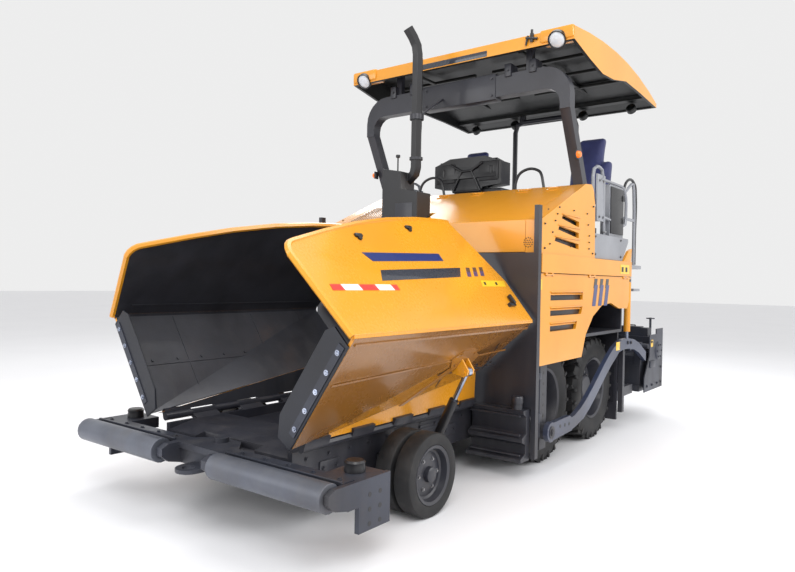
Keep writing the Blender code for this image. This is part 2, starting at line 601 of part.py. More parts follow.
def cylinder_pair(names, low, high, barrel_end, rod_start, side, across):
    """Barrel and rod of a hydraulic cylinder from its lower eye to its upper one."""
    low, high = Vector(low), Vector(high)
    axis = (high - low).normalized()
    span = {"X": Vector((0.022, 0, 0)), "Y": Vector((0, 0.022, 0))}[across]
    bore = loose(PIN_RADIUS, 12)
    far = PIN_RADIUS + EYE_PLAY
    node(names[0], "dark_steel",
         [rod(low - span, low + span, EYE_RADIUS, 12),
          rod(low + axis * 0.02, low + axis * barrel_end, BARREL_RADIUS, 14)],
         [rod(low - span * 2, low + span * 2, bore, 12),
          rod(low + axis * 0.05, low + axis * (barrel_end + 0.1), ROD_RADIUS + GAP, 12)],
         side, low)
    node(names[1], "chrome",
         [rod(high - span, high + span, EYE_RADIUS, 12),
          rod(low + axis * rod_start, high - axis * 0.01, ROD_RADIUS, 12)],
         [rod(high - span * 2, high + span * 2, far, 12)], side, high)


def build_wing_cylinder(side):
    names = (f"wing_cylinder_{hand(side)}", f"wing_cylinder_rod_{hand(side)}")
    cylinder_pair(names, (BARREL_X, CYLINDER_Y, BARREL_Z), (ROD_EYE_X, CYLINDER_Y, ROD_EYE_Z),
                  0.42, 0.20, side, "Y")


# ---- Body ---------------------------------------------------------------------------------
def slope_z(y):
    """Height of the hood line over y."""
    share = (y - BODY_FRONT) / (PEAK_Y - BODY_FRONT)
    return NOSE_TOP + (PEAK_Z - NOSE_TOP) * share


def side_slots():
    """Three slanting slots in the upper side panel."""
    slots = []
    for k in range(3):
        z, y = 2.13 - 0.10 * k, -0.16 - 0.07 * k
        slots.append(prism("X", ((y, z), (y + 0.02, z + 0.035), (0.22, z), (0.22, z - 0.045),
                                 (0.18, z - 0.045)), 1.1, 1.3))
    return slots


def build_body_side(side):
    """Upper side panel with its sloping edge strip, front cheek and the band under it."""
    x0 = BODY_HALF - SHEET
    round_off = arc(0.46, PEAK_Z - 0.10, 0.12, 70, 0, 3)
    outline = [(BODY_FRONT, BAND_LOW), (BODY_REAR, BAND_LOW), (1.70, 1.96), (1.60, 1.93),
               (1.45, BAND_TOP), (0.62, BAND_TOP), (0.60, 2.33)] + round_off[::-1]
    outline += [(PEAK_Y, PEAK_Z), (BODY_FRONT, NOSE_TOP)]
    pieces = [prism("X", outline, x0, BODY_HALF),
              prism("X", ((BODY_FRONT, NOSE_TOP), (PEAK_Y, PEAK_Z), (PEAK_Y, PEAK_Z - SHEET - 0.005),
                          (BODY_FRONT, NOSE_TOP - SHEET - 0.005)), HOOD_HALF + 0.003, BODY_HALF),
              block(HOOD_HALF + 0.003, BODY_HALF, BODY_FRONT, BODY_FRONT + SHEET, BAND_TOP,
                    NOSE_TOP),
              prism("X", ((BODY_FRONT, BAND_LOW), (BODY_REAR, BAND_LOW), (BODY_REAR, BAND_TOP),
                          (BODY_FRONT, BAND_TOP)), x0 + 0.01, BODY_HALF + 0.015)]
    inner = 1.14 + GAP
    pieces += [block(inner, x0 + 0.01, 1.575, 1.595, BAND_LOW, DECK_Z - 0.06),
               block(inner, x0 + 0.01, 0.535, 0.555, BAND_LOW, DECK_Z - 0.06),
               block(HOOD_HALF + 0.003, x0 + 0.01, BODY_FRONT, -0.50, BAND_TOP + 0.004,
                     BAND_TOP + 0.03)]
    for y in DOOR_HINGES:
        for y0, y1 in ((y - 0.08, y - 0.04 - GAP), (y + 0.04 + GAP, y + 0.08)):
            pieces += [rod((DOOR_PIN_X, y0, DOOR_PIN_Z), (DOOR_PIN_X, y1, DOOR_PIN_Z), 0.009, 6),
                       block(DOOR_PIN_X - 0.003, DOOR_PIN_X + 0.006, y0, y1, DOOR_PIN_Z,
                             BAND_LOW + 0.01)]
    node(f"body_side_{hand(side)}", "yellow_paint", pieces, side_slots(), side)


def door_outline():
    top = BAND_LOW - 0.006
    arch = [(1.02 + 0.72 * math.cos(t), 0.72 + 0.67 * math.sin(t))
            for t in (math.radians(a) for a in (45, 65, 85, 105, 125, 145, 163))]
    return [(BODY_FRONT, 0.90), (BODY_FRONT, top), (BODY_REAR - 0.02, top),
            (BODY_REAR - 0.02, 1.40), (1.58, 1.32)] + arch[1:-1] + [(0.34, 0.905)]


def build_side_door(side):
    """Flap door under the band, hinged along its top edge, with three louvre slots."""
    x0 = BODY_HALF - SHEET
    louvres = []
    for k in range(3):
        z0 = 1.50 - 0.13 * k
        y1 = (0.34, 0.34, 0.22)[k]
        louvres.append(prism("X", ((-0.36, z0), (y1, z0), (y1 - 0.03 * (k > 0), z0 - 0.07),
                                   (-0.36, z0 - 0.07)), 1.1, 1.3))
    pieces = [prism("X", door_outline(), x0, BODY_HALF)]
    pieces += [rod((DOOR_PIN_X, y - 0.04, DOOR_PIN_Z), (DOOR_PIN_X, y + 0.04, DOOR_PIN_Z), 0.009, 6)
               for y in DOOR_HINGES]
    notches = [block(DOOR_PIN_X - 0.014, 1.3, a, b, DOOR_PIN_Z - 0.014, BAND_LOW + 0.1)
               for y in DOOR_HINGES
               for a, b in ((y - 0.085, y - 0.04), (y + 0.04, y + 0.085))]
    node(f"side_door_{hand(side)}", "yellow_paint", pieces, louvres + notches, side,
         (DOOR_PIN_X, 0.5, DOOR_PIN_Z))


def build_hood():
    """Engine hood: sloping shell with a front face, open below, notched round the exhaust."""
    t, rear = 0.02, PEAK_Y - 0.004
    shell = ((BODY_FRONT, BAND_TOP + 0.01), (BODY_FRONT, NOSE_TOP), (rear, slope_z(rear)),
             (rear, slope_z(rear) - t), (BODY_FRONT + t, NOSE_TOP - t),
             (BODY_FRONT + t, BAND_TOP + 0.01))
    lip = [(y, z - 0.03) for y, z in ((BODY_FRONT + 0.01, NOSE_TOP), (rear, slope_z(rear)))]
    rib = lip[::-1] + [(lip[0][0], lip[0][1] + 0.02), (lip[1][0], lip[1][1] + 0.02)]
    pieces = [prism("X", shell, -HOOD_HALF, HOOD_HALF)]
    for s in (1, -1):
        pieces.append(mirrored(prism("X", rib, HOOD_HALF - 0.05, HOOD_HALF - 0.02), s))
    cuts = [block(STACK_X0 - 0.012, STACK_X1 + 0.012, -1.0, STACK_Y1 + NOTCH_ROOM, 1.7, 2.6)]
    node("engine_hood", "yellow_paint", pieces, cuts, origin=(0, rear, PEAK_Z))


def build_exhaust():
    """Stack box before the hood's notch, elbow and tall tail pipe."""
    x0, x1, y0, y1 = STACK_X0, STACK_X1, STACK_Y0, STACK_Y1
    mid = (x0 + x1) / 2 + 0.05
    y = (y0 + y1) / 2 + 0.04
    pieces = [prism("Y", ((x0, 1.52), (x1, 1.52), (x1, 2.40), (x0 + 0.22, 2.43), (x0 + 0.22, 2.60),
                          (x0, 2.64)), y0, y1),
              bent([(x0 + 0.15, y, 2.52), (mid + 0.03, y, 2.58), (mid + 0.03, y, 3.80),
                    (mid - 0.02, y - 0.10, 3.95)], 0.055, corner=0.12)]
    pieces += [block(x0 + 0.05, x1 - 0.05, y0 + 0.02, y1, 1.46, 1.53),
               block(x0 + 0.02, x0 + 0.05, y0 + 0.10, y1 - 0.05, FRAME_DECK + SHEET + GAP, 1.53),
               block(x1 - 0.05, x1 - 0.02, y0 + 0.10, y1 - 0.05, FRAME_DECK + SHEET + GAP, 1.53)]
    node("exhaust_stack", "dark_steel", pieces)


# ---- Operator's platform ------------------------------------------------------------------
def build_platform():
    """Deck with a kick plate at the front, silver side sheets and a step at the rear."""
    low = DECK_Z - 0.04
    pieces = [block(-1.165, 1.165, 0.36, 2.14, low, DECK_Z),
              block(-1.06, 1.06, 0.40, 0.43, 2.05, PEAK_Z - 0.035),
              block(-1.06, 1.06, 0.40, 0.53, 2.02, 2.06),
              block(-1.06, 1.06, 0.50, 0.53, low, 2.06),
              block(-0.42, 0.42, 2.02, 2.12, DECK_Z - 0.01, DECK_Z + 0.30)]
    pieces += [block(x - 0.05, x + 0.05, PEAK_Y - 0.004 + GAP, 0.41, PEAK_Z - 0.05, PEAK_Z - 0.005)
               for x in (-0.7, 0.7)]
    for s in (1, -1):
        pieces += [mirrored(bm, s) for bm in (
            prism("X", ((0.63, BAND_TOP + 0.004), (1.44, BAND_TOP + 0.004), (1.62, 2.02),
                        (1.62, 2.06), (0.63, 2.06)), 1.165, 1.185),
            block(1.10, 1.17, 0.66, 1.42, BAND_TOP + 0.01, BAND_TOP + 0.04),
            block(1.10, 1.13, 0.66, 1.42, low, BAND_TOP + 0.04),
            block(0.62, 0.88, 1.22, 1.50, DECK_Z - 0.01, 2.18),
            block(0.80, 1.10, 2.10, 2.32, 1.50, 1.53),
            block(0.84, 0.88, 2.10, 2.14, 1.50, DECK_Z - 0.01),
            block(1.02, 1.06, 2.10, 2.14, 1.50, DECK_Z - 0.01))]
    node("operator_platform", "silver_paint", pieces)


def build_rail(side):
    """Side gate: silver tube frames, a sheet panel and a black locker behind it."""
    x, tube = 1.12, 0.017
    top = 2.72
    pieces = [bent([(x, 0.74, 2.06 + GAP), (x, 0.74, top), (x, 1.00, top + 0.02),
                    (x, 1.06, 2.06 + GAP)], tube, 0.10),
              block(x - 0.008, x + 0.008, 0.84, 1.06, 2.20, 2.66),
              bent([(x, 0.95, 2.62), (x, 1.62, 2.62), (x, 1.72, 2.52), (x, 1.72, 2.20),
                    (x, 1.02, 2.25)], tube, 0.08),
              block(x - 0.09, x + 0.005, 1.20, 1.62, 2.06 + GAP, 2.60),
              bent([(x - 0.02, 1.60, 2.50), (x - 0.02, 2.02, 2.74), (x - 0.02, 2.06, 2.40),
                    (x - 0.02, 2.06, DECK_Z + GAP)], tube, 0.10),
              block(x - 0.02 - tube / 2, x - 0.02 + tube / 2, 1.58, 2.06, 2.28, 2.31)]
    node(f"side_gate_{hand(side)}", "silver_paint", pieces, side=side)


def build_seat(side):
    """Operator's seat: pedestal, cushion, backrest and headrest in one covered shape."""
    x, z = 0.785, 2.18 + GAP
    cushion = ((1.10, z + 0.06), (1.10, z + 0.20), (1.16, z + 0.24), (1.50, z + 0.20),
               (1.62, z + 0.74), (1.66, z + 0.80), (1.67, z + 1.02), (1.74, z + 1.03),
               (1.78, z + 0.78), (1.74, z + 0.68), (1.62, z + 0.12), (1.56, z + 0.06))
    pieces = [prism("X", cushion, x - 0.14, x + 0.14),
              prism("X", ((1.10, z + 0.08), (1.10, z + 0.20), (1.16, z + 0.235), (1.52, z + 0.20),
                          (1.52, z + 0.08)), x - 0.24, x + 0.24),
              prism("X", ((1.50, z + 0.19), (1.62, z + 0.75), (1.75, z + 0.71), (1.62, z + 0.12)),
                    x - 0.23, x + 0.23),
              block(x - 0.11, x + 0.11, 1.25, 1.48, z, z + 0.09)]
    node(f"seat_{hand(side)}", "seat_cover", pieces, side=side)


def build_console():
    """Control console on a post that slides along a cross rail before the seats."""
    x, y = CONSOLE_X, 0.80
    pieces = [
        prism("Y", ((x - 0.42, 2.62), (x - 0.42, 2.86), (x - 0.22, 2.93), (x + 0.22, 2.93),
                    (x + 0.42, 2.86), (x + 0.42, 2.62), (x + 0.20, 2.60), (x + 0.14, 2.52),
                    (x - 0.14, 2.52), (x - 0.20, 2.60)), y - 0.10, y + 0.10),
        prism("X", ((y - 0.12, 2.70), (y + 0.12, 2.64), (y + 0.22, 2.70), (y + 0.10, 2.88),
                    (y - 0.08, 2.90)), x - 0.36, x + 0.36),
        block(x - 0.05, x + 0.05, y - 0.03, y + 0.05, 2.12, 2.56),
        block(x - 0.12, x + 0.12, y - 0.07, y + 0.09, 2.06, 2.13)]
    node("control_console", "plastic", pieces,
         [block(-2, 2, y - 0.03 - GAP, y + 0.03 + GAP, 2.03, 2.09 + GAP)], origin=(x, y, 2.06))
    node("console_rail", "grey_steel",
         [block(-0.56, 0.56, y - 0.03, y + 0.03, 2.03, 2.09),
          block(-0.56, -0.50, y - 0.03, y + 0.03, DECK_Z + GAP, 2.04),
          block(0.50, 0.56, y - 0.03, y + 0.03, DECK_Z + GAP, 2.04)])


# ---- Canopy -------------------------------------------------------------------------------
def canopy_top(y):
    """Height of the crowned roof over y."""
    return CANOPY_TOP + 0.065 - 0.10 * (y - 0.85) ** 2 * (1.0 if y > 0.85 else 0.75)


def rib_low(y):
    """Underside of the canopy's cross rib over y, where an arch bears."""
    return canopy_top(y) - SKIN - 0.03


def build_arches():
    """Wide box-section arch at the front and a narrow tube arch at the rear."""
    half_y, half_x = ARCH_WIDTH / 2, 0.048
    top = ARCH_TOP - ARCH_DEPTH / 2
    lean_x = ARCH_X
    corners = ((-half_x, -half_y), (half_x, -half_y), (half_x, half_y), (-half_x, half_y))
    legs = []
    for s in (1, -1):
        x = s * ARCH_X
        path = [Vector((x, ARCH_FOOT_Y, DECK_Z + GAP)), Vector((x, ARCH_FOOT_Y, PEAK_Z + 0.02)),
                Vector((x, ARCH_TOP_Y, top - 0.28))]
        legs.append(loft([[p + Vector((a, b, 0)) for a, b in corners] for p in path]))
    outer = [(-lean_x - half_x, top - 0.30)] + \
        arc(-lean_x - half_x + 0.26, ARCH_TOP - 0.26, 0.26, 180, 90, 6) + \
        arc(lean_x + half_x - 0.26, ARCH_TOP - 0.26, 0.26, 90, 0, 6) + \
        [(lean_x + half_x, top - 0.30)]
    inner = [(lean_x - half_x, top - 0.30)] + \
        arc(lean_x - half_x - 0.14, ARCH_TOP - ARCH_DEPTH - 0.14, 0.14, 0, 90, 4) + \
        arc(-lean_x + half_x + 0.14, ARCH_TOP - ARCH_DEPTH - 0.14, 0.14, 90, 180, 4) + \
        [(-lean_x + half_x, top - 0.30)]
    pieces = [prism("Y", outer + inner, ARCH_TOP_Y - half_y, ARCH_TOP_Y + half_y)] + legs
    pieces += [block(s * 0.75 - 0.03, s * 0.75 + 0.03, ARCH_TOP_Y - 0.03, ARCH_TOP_Y + 0.03,
                     ARCH_TOP - 0.02, rib_low(ARCH_TOP_Y) - GAP) for s in (1, -1)]
    node("front_arch", "dark_steel", pieces)
    x, y = REAR_ARCH_X, REAR_ARCH_Y
    under = rib_low(y) - 0.03
    node("rear_arch", "dark_steel",
         [bent([(x, y, DECK_Z + 0.30 + GAP), (x, y, under - REAR_TUBE - 0.01),
                (-x, y, under - REAR_TUBE - 0.01), (-x, y, DECK_Z + 0.30 + GAP)], REAR_TUBE, 0.12)]
         + [block(s * 0.30 - 0.03, s * 0.30 + 0.03, y - 0.03, y + 0.03, under - 0.05,
                  rib_low(y) - GAP) for s in (1, -1)])


def build_canopy():
    """Roof shell: crowned top, deep sides, front and rear edges, hollow below."""
    spots = [CANOPY_FRONT, 0.25, 0.60, 0.95, 1.30, 1.65, 2.0, CANOPY_REAR]
    crown = [(y, canopy_top(y)) for y in spots]
    skirt = [(CANOPY_REAR, 3.60), (1.70, 3.63), (1.25, 3.64), (0.90, 3.57), (0.60, 3.55),
             (0.28, 3.60), (CANOPY_FRONT, 3.675)]
    hollow = [(y, z - SKIN) for y, z in crown]
    hollow[0] = (CANOPY_FRONT + SKIN, hollow[0][1])
    hollow[-1] = (CANOPY_REAR - SKIN, hollow[-1][1])
    hollow += [(CANOPY_REAR - SKIN, 3.4), (CANOPY_FRONT + SKIN, 3.4)]
    pieces = [prism("X", crown + skirt, -CANOPY_HALF, CANOPY_HALF)]
    inside = CANOPY_HALF - SKIN
    cuts = [prism("X", hollow, -inside, inside)]
    ribs = [block(-inside - 0.01, inside + 0.01, y - 0.05, y + 0.05, rib_low(y),
                  canopy_top(y) - 0.012) for y in (ARCH_TOP_Y, REAR_ARCH_Y)]
    node("canopy", "yellow_paint", pieces, cuts, adds=ribs)


# ---- Paving gear --------------------------------------------------------------------------
def arm_line(y):
    """Height of a tow arm's middle line over y: an S that rises, then droops at the screed."""
    t = min(max((y - 0.02) / 1.42, 0.0), 1.0)
    rise = 0.62 * t * t * (3 - 2 * t)
    droop = 0.16 * max(0.0, (y - 1.55) / 0.6) ** 2
    return TOW_PIN_Z + rise - droop


def build_tow_arm(side):
    """Curved plate arm from the front tow pin to the screed, with the lift cylinder's pin."""
    half = 0.055
    spots = [0.02 + 0.142 * k for k in range(11)] + [1.60, 1.78, 1.95, SCREED_FRONT + 0.06]
    top = [(y, arm_line(y) + half) for y in spots]
    low = [(y + 0.06 * (0.2 < y < 1.2), arm_line(y) - half) for y in spots]
    x0, x1 = TOW_X - ARM_THICK / 2, TOW_X + ARM_THICK / 2
    pieces = [prism("X", top + low[::-1], x0, x1),
              rod((x0, TOW_PIN_Y, TOW_PIN_Z), (x1, TOW_PIN_Y, TOW_PIN_Z), 0.085, 14),
              prism("X", ((TOW_PIN_Y, TOW_PIN_Z - 0.075), (0.10, TOW_PIN_Z - 0.055),
                          (0.16, TOW_PIN_Z + 0.03), (0.05, TOW_PIN_Z + 0.085),
                          (TOW_PIN_Y, TOW_PIN_Z + 0.075)), x0, x1),
              rod((x0 + 0.01, LIFT_Y, LIFT_LOW), (LIFT_X - 0.035, LIFT_Y, LIFT_LOW), PIN_RADIUS, 12),
              block(x0 - 0.012, x0 + 0.01, LIFT_Y - 0.05, LIFT_Y + 0.05, LIFT_LOW - 0.04,
                    LIFT_LOW + 0.04)]
    cuts = [rod((1.1, TOW_PIN_Y, TOW_PIN_Z), (1.3, TOW_PIN_Y, TOW_PIN_Z), loose(0.03, 12), 12)]
    node(f"tow_arm_{hand(side)}", "grey_steel", pieces, cuts, side, (TOW_X, TOW_PIN_Y, TOW_PIN_Z))


def build_lift_cylinder(side):
    names = (f"lift_cylinder_{hand(side)}", f"lift_cylinder_rod_{hand(side)}")
    cylinder_pair(names, (LIFT_X, LIFT_Y, LIFT_TOP), (LIFT_X, LIFT_Y, LIFT_LOW),
                  0.56, 0.12, side, "X")


def guide_y(side):
    """The two extensions' guide tubes lie side by side over the screed."""
    return 2.28 if side > 0 else 2.42


def build_screed():
    """Main screed: box beam, sole, guide sleeves and top boxes, hung on the tow arms."""
    y0, y1, z0 = SCREED_FRONT, SCREED_FRONT + 0.36, SCREED_LOW
    arm_in = TOW_X - ARM_THICK / 2
    pieces = [block(-1.17, 1.17, y0 + 0.02, y1, z0 + 0.06, z0 + 0.40),
              block(-1.17, 1.17, y0, y1, z0, z0 + 0.07),
              prism("X", ((y0 + 0.02, z0 + 0.38), (y1, z0 + 0.38), (y1, z0 + 0.42),
                          (y0 + 0.08, z0 + 0.42)), -1.17, 1.17),
              block(-0.50, 0.50, y0 + 0.06, y1, z0 + 0.40, z0 + 0.74),
              block(-0.45, 0.45, y0 + 0.08, y1 - 0.02, z0 + 0.73, z0 + 0.80)]
    cuts = []
    for s in (1, -1):
        pieces += [mirrored(bm, s) for bm in (
            block(0.55, 0.80, y0 + 0.06, y1, z0 + 0.40, z0 + 0.62),
            block(1.10, arm_in - GAP, y0 + 0.01, y0 + 0.07, z0 + 0.30, z0 + 0.56))]
    for s in (1, -1):
        z = z0 + GUIDE_RISE
        cuts.append(rod((-1.3, guide_y(s), z), (1.3, guide_y(s), z), GUIDE_RADIUS + 0.001, 12))
    node("screed", "grey_steel", pieces, cuts)


def build_extension(side):
    """Sliding screed half behind the main one, with end plate, guide tube and top box."""
    y0, y1, z0 = SCREED_FRONT + 0.37, SCREED_REAR, SCREED_LOW
    z = z0 + GUIDE_RISE
    plate = ((SCREED_FRONT - 0.02, z0), (SCREED_REAR + 0.01, z0), (SCREED_REAR + 0.01, z0 + 0.70),
             (SCREED_REAR - 0.25, z0 + 0.70), (SCREED_REAR - 0.25, z0 + 0.64),
             (SCREED_FRONT + 0.16, z0 + 0.64), (SCREED_FRONT + 0.16, z0 + 0.40),
             (SCREED_FRONT - 0.02, z0 + 0.16))
    g = guide_y(side)
    pieces = [block(0.012, 1.215, y0, y1, z0, z0 + 0.40),
              prism("X", plate, 1.2235, PLATE_X),
              block(1.18, 1.23, y0 + 0.05, y1 - 0.02, z0 + 0.02, z0 + 0.60),
              block(0.10, 1.18, y0 + 0.04, y1 - 0.02, z0 + 0.39, z0 + 0.60),
              block(0.14, 1.12, y0 + 0.08, y1 - 0.06, z0 + 0.59, z0 + 0.70),
              block(0.20, 1.10, y1 - 0.01, y1 + WALKWAY, z0 + 0.10, z0 + 0.13),
              block(0.25, 0.30, y1 - 0.01, y1 + 0.15, z0 + 0.05, z0 + 0.12),
              block(1.00, 1.05, y1 - 0.01, y1 + 0.15, z0 + 0.05, z0 + 0.12)]
    tube = rod((-0.20, g, z), (1.225, g, z), GUIDE_RADIUS, 12)
    node(f"screed_extension_{hand(side)}", "grey_steel", pieces + [tube], side=side)


def build_auger(side):
    """Auger: a shaft with slanting round blades."""
    lean = math.radians(18)
    normal = Vector((math.cos(lean), math.sin(lean), 0))
    shaft = [(0, 0), (0.032, 0), (0.032, AUGER_OUT - AUGER_IN), (0, AUGER_OUT - AUGER_IN)]
    pieces = [turned("X", (AUGER_IN, AUGER_Y, AUGER_Z), shaft, 12)]
    count = 5
    for k in range(count):
        middle = Vector((AUGER_IN + (AUGER_OUT - AUGER_IN) * (k + 0.5) / count, AUGER_Y, AUGER_Z))
        pieces.append(rod(middle - normal * 0.007, middle + normal * 0.007, AUGER_RADIUS, 12))
    node(f"auger_{hand(side)}", "grey_steel", pieces, side=side,
         origin=(AUGER_IN, AUGER_Y, AUGER_Z))


def build_auger_frame():
    """Centre gearbox and outboard bearings that carry the augers behind the tunnel."""
    z, y = AUGER_Z, AUGER_Y
    pieces = [block(-AUGER_IN + GAP, AUGER_IN - GAP, y - 0.07, y + 0.07, z - 0.09, 0.90),
              block(-0.07, 0.07, TUNNEL_END + GAP, y, 0.78, 0.90),
              block(-1.155, 1.155, TUNNEL_END + GAP, TUNNEL_END + 0.06, 0.80, 0.90)]
    for s in (1, -1):
        pieces += [mirrored(bm, s) for bm in (
            block(1.105, 1.155, TUNNEL_END + GAP, TUNNEL_END + 0.06, 0.20, 0.81),
            block(AUGER_OUT + GAP, 1.155, TUNNEL_END + 0.02, y + 0.05, z - 0.05, z + 0.05))]
    node("auger_frame", "dark_steel", pieces)


def build_step_box(side):
    """Black box ahead of the first drive wheel, with three ledges and a round buffer."""
    y0, y1, top = BOX_FRONT, BULKHEAD_Y - GAP, HINGE_Z
    profile = ((y1, top), (y0 + 0.04, top), (y0 + 0.04, top - 0.03), (y0 + 0.09, top - 0.06),
               (y0 + 0.09, 0.37), (y0 + 0.02, 0.34), (y0 + 0.02, 0.31), (y0 + 0.08, 0.28),
               (y0 + 0.08, 0.21), (y0, 0.18), (y0, 0.15), (y1, 0.15))
    pieces = [prism("X", profile, 0.665, 1.165),
              rod((1.08, y0 + 0.09, top - 0.01), (1.08, y0 + 0.09, top + 0.05), 0.045, 12)]
    node(f"step_box_{hand(side)}", "dark_steel", pieces, side=side)


def build():
    clear_scene()
    make_materials()
    build_frame()
    build_engine()
    build_front_axle()
    build_push_bar()
    build_hood()
    build_exhaust()
    build_platform()
    build_console()
    build_arches()
    build_canopy()
    build_screed()
    build_auger_frame()
    for side in (1, -1):
        build_front_wheels(side)
        for index in range(2):
            build_drive_wheel(side, index)
        build_roller(side)
        build_wing(side)
        build_wing_cylinder(side)
        build_body_side(side)
        build_side_door(side)
        build_rail(side)
        build_seat(side)
        build_tow_arm(side)
        build_lift_cylinder(side)
        build_extension(side)
        build_auger(side)
        build_step_box(side)


build()
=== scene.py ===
"""Looks of a wheeled asphalt paver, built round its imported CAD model."""
import json
import math

import bmesh
import bpy
from mathutils import Matrix, Vector

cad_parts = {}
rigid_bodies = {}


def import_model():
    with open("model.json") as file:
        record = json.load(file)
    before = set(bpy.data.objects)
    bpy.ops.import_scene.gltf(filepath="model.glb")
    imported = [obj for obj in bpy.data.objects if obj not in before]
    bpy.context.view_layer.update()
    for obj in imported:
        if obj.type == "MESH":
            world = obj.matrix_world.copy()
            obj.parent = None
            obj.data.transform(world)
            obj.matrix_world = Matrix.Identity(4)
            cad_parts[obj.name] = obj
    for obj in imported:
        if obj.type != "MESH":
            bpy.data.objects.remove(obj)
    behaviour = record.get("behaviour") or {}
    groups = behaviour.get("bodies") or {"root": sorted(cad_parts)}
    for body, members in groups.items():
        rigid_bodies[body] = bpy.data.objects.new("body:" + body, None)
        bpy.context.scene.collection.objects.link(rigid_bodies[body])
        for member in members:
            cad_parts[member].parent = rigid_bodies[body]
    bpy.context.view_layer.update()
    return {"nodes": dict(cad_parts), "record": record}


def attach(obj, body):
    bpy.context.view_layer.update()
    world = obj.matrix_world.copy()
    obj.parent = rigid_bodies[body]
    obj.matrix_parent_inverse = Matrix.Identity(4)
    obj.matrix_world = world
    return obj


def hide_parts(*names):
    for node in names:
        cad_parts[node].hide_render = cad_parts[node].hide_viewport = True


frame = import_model()

SIDES = (("left", 1), ("right", -1))
BODY_OF = {node: body for body, nodes in frame["record"]["behaviour"]["bodies"].items()
           for node in nodes}


# ---- Materials ------------------------------------------------------------------------------
class Value:
    """A shader socket used in a Python expression."""

    def __init__(self, paint, socket):
        self.paint, self.socket = paint, socket

    def math(self, operation, *values):
        made = self.paint.add("ShaderNodeMath", {"operation": operation},
                              dict(enumerate((self,) + values)))
        return made.out()

    def __add__(self, other): return self.math("ADD", other)
    __radd__ = __add__
    def __mul__(self, other): return self.math("MULTIPLY", other)
    __rmul__ = __mul__
    def above(self, edge): return self.math("GREATER_THAN", edge)

    def ramp(self, low, high):
        """0 below low and 1 above high, smooth between; falls if low is the greater."""
        made = self.paint.add("ShaderNodeMapRange", {"interpolation_type": "SMOOTHSTEP"},
                              {"Value": self, "From Min": low, "From Max": high})
        return made.out()


class Node:
    def __init__(self, paint, node):
        self.paint, self.node = paint, node

    def out(self, name=0):
        return Value(self.paint, self.node.outputs[name])


class Paint:
    """A material that is built up node by node round one Principled shader."""

    def __init__(self, name):
        self.material = bpy.data.materials.new(name)
        self.material.use_nodes = True
        self.tree = self.material.node_tree
        self.shader = self.tree.nodes["Principled BSDF"]
        self.place = self.add("ShaderNodeTexCoord").out("Object")

    def add(self, kind, settings=None, sockets=None):
        node = self.tree.nodes.new(kind)
        for key, value in (settings or {}).items():
            setattr(node, key, value)
        for key, value in (sockets or {}).items():
            self.feed(node.inputs[key], value)
        return Node(self, node)

    def feed(self, socket, value):
        if isinstance(value, Value):
            self.tree.links.new(value.socket, socket)
        else:
            socket.default_value = value

    def set(self, **sockets):
        for key, value in sockets.items():
            self.feed(self.shader.inputs[key.replace("_", " ")], value)
        return self.material

    def noise(self, scale, detail=3.0, stretch=(1, 1, 1), rough=0.55):
        where = self.add("ShaderNodeMapping", None, {"Vector": self.place, "Scale": stretch}).out()
        return self.add("ShaderNodeTexNoise", None, {
            "Vector": where, "Scale": scale, "Detail": detail, "Roughness": rough}).out()

    def axis(self, name):
        return self.add("ShaderNodeSeparateXYZ", None, {"Vector": self.place}).out(name)

    def mix(self, amount, first, second):
        made = self.add("ShaderNodeMix", {"data_type": "RGBA"})
        self.feed(made.node.inputs[0], amount)
        self.feed(made.node.inputs[6], first)
        self.feed(made.node.inputs[7], second)
        return Value(self, made.node.outputs[2])

    def bump(self, height, strength, distance):
        self.set(Normal=self.add("ShaderNodeBump", None, {
            "Height": height, "Strength": strength, "Distance": distance}).out())


def rgb(r, g, b, alpha=1.0):
    """Screen colour, 0 to 255, as linear light."""
    return tuple((c / 255) ** 2.2 for c in (r, g, b)) + (alpha,)


def coated(name, colour, shade, rough, coat=0.0, metal=0.0, dirt=0.25, grime=rgb(120, 104, 84),
           grain=0.12):
    """Painted or bare steel: clouded colour, dust low down, fine scratches and orange peel."""
    paint = Paint(name)
    cloud, speck = paint.noise(1.7, 5), paint.noise(55, 3)
    streak = paint.noise(5, 4, (1.6, 1.6, 0.22))
    scratch = paint.noise(9, 5, (1, 1, 9), 0.7)
    low = paint.axis("Z").ramp(1.5, 0.1)
    dust = (streak * 0.6 + cloud * 0.6).ramp(0.52, 0.86) * (low * 0.75 + 0.25) * dirt
    body = paint.mix(cloud.ramp(0.3, 0.75), colour, shade)
    body = paint.mix(scratch.ramp(0.66, 0.8) * dirt * 0.6, body, grime)
    paint.set(Base_Color=paint.mix(dust, body, grime), Metallic=metal,
              Roughness=dust * 0.5 + cloud * 0.14 + speck * 0.1 + (rough - 0.1), Coat_Weight=coat,
              Coat_Roughness=0.12)
    paint.bump(speck * 0.6 + cloud + scratch * 0.3, grain, 0.004)
    return paint.material


def tyre_rubber(name):
    paint = Paint(name)
    cloud, speck = paint.noise(6, 5), paint.noise(120, 2)
    grey = paint.mix(cloud.ramp(0.4, 0.75), rgb(24, 24, 26), rgb(46, 45, 45))
    paint.set(Base_Color=grey, Roughness=cloud * 0.2 + 0.58)
    paint.bump(speck + cloud, 0.25, 0.003)
    return paint.material


def bare_steel(name, colour, rough, brushed=(1, 1, 1)):
    paint = Paint(name)
    cloud, lines = paint.noise(3, 4), paint.noise(30, 4, brushed)
    dull = (colour[0] * 0.5, colour[1] * 0.5, colour[2] * 0.52, 1)
    paint.set(Base_Color=paint.mix(cloud.ramp(0.35, 0.7), colour, dull), Metallic=0.9,
              Roughness=cloud * 0.2 + lines * 0.12 + (rough - 0.16))
    paint.bump(lines + cloud, 0.12, 0.003)
    return paint.material


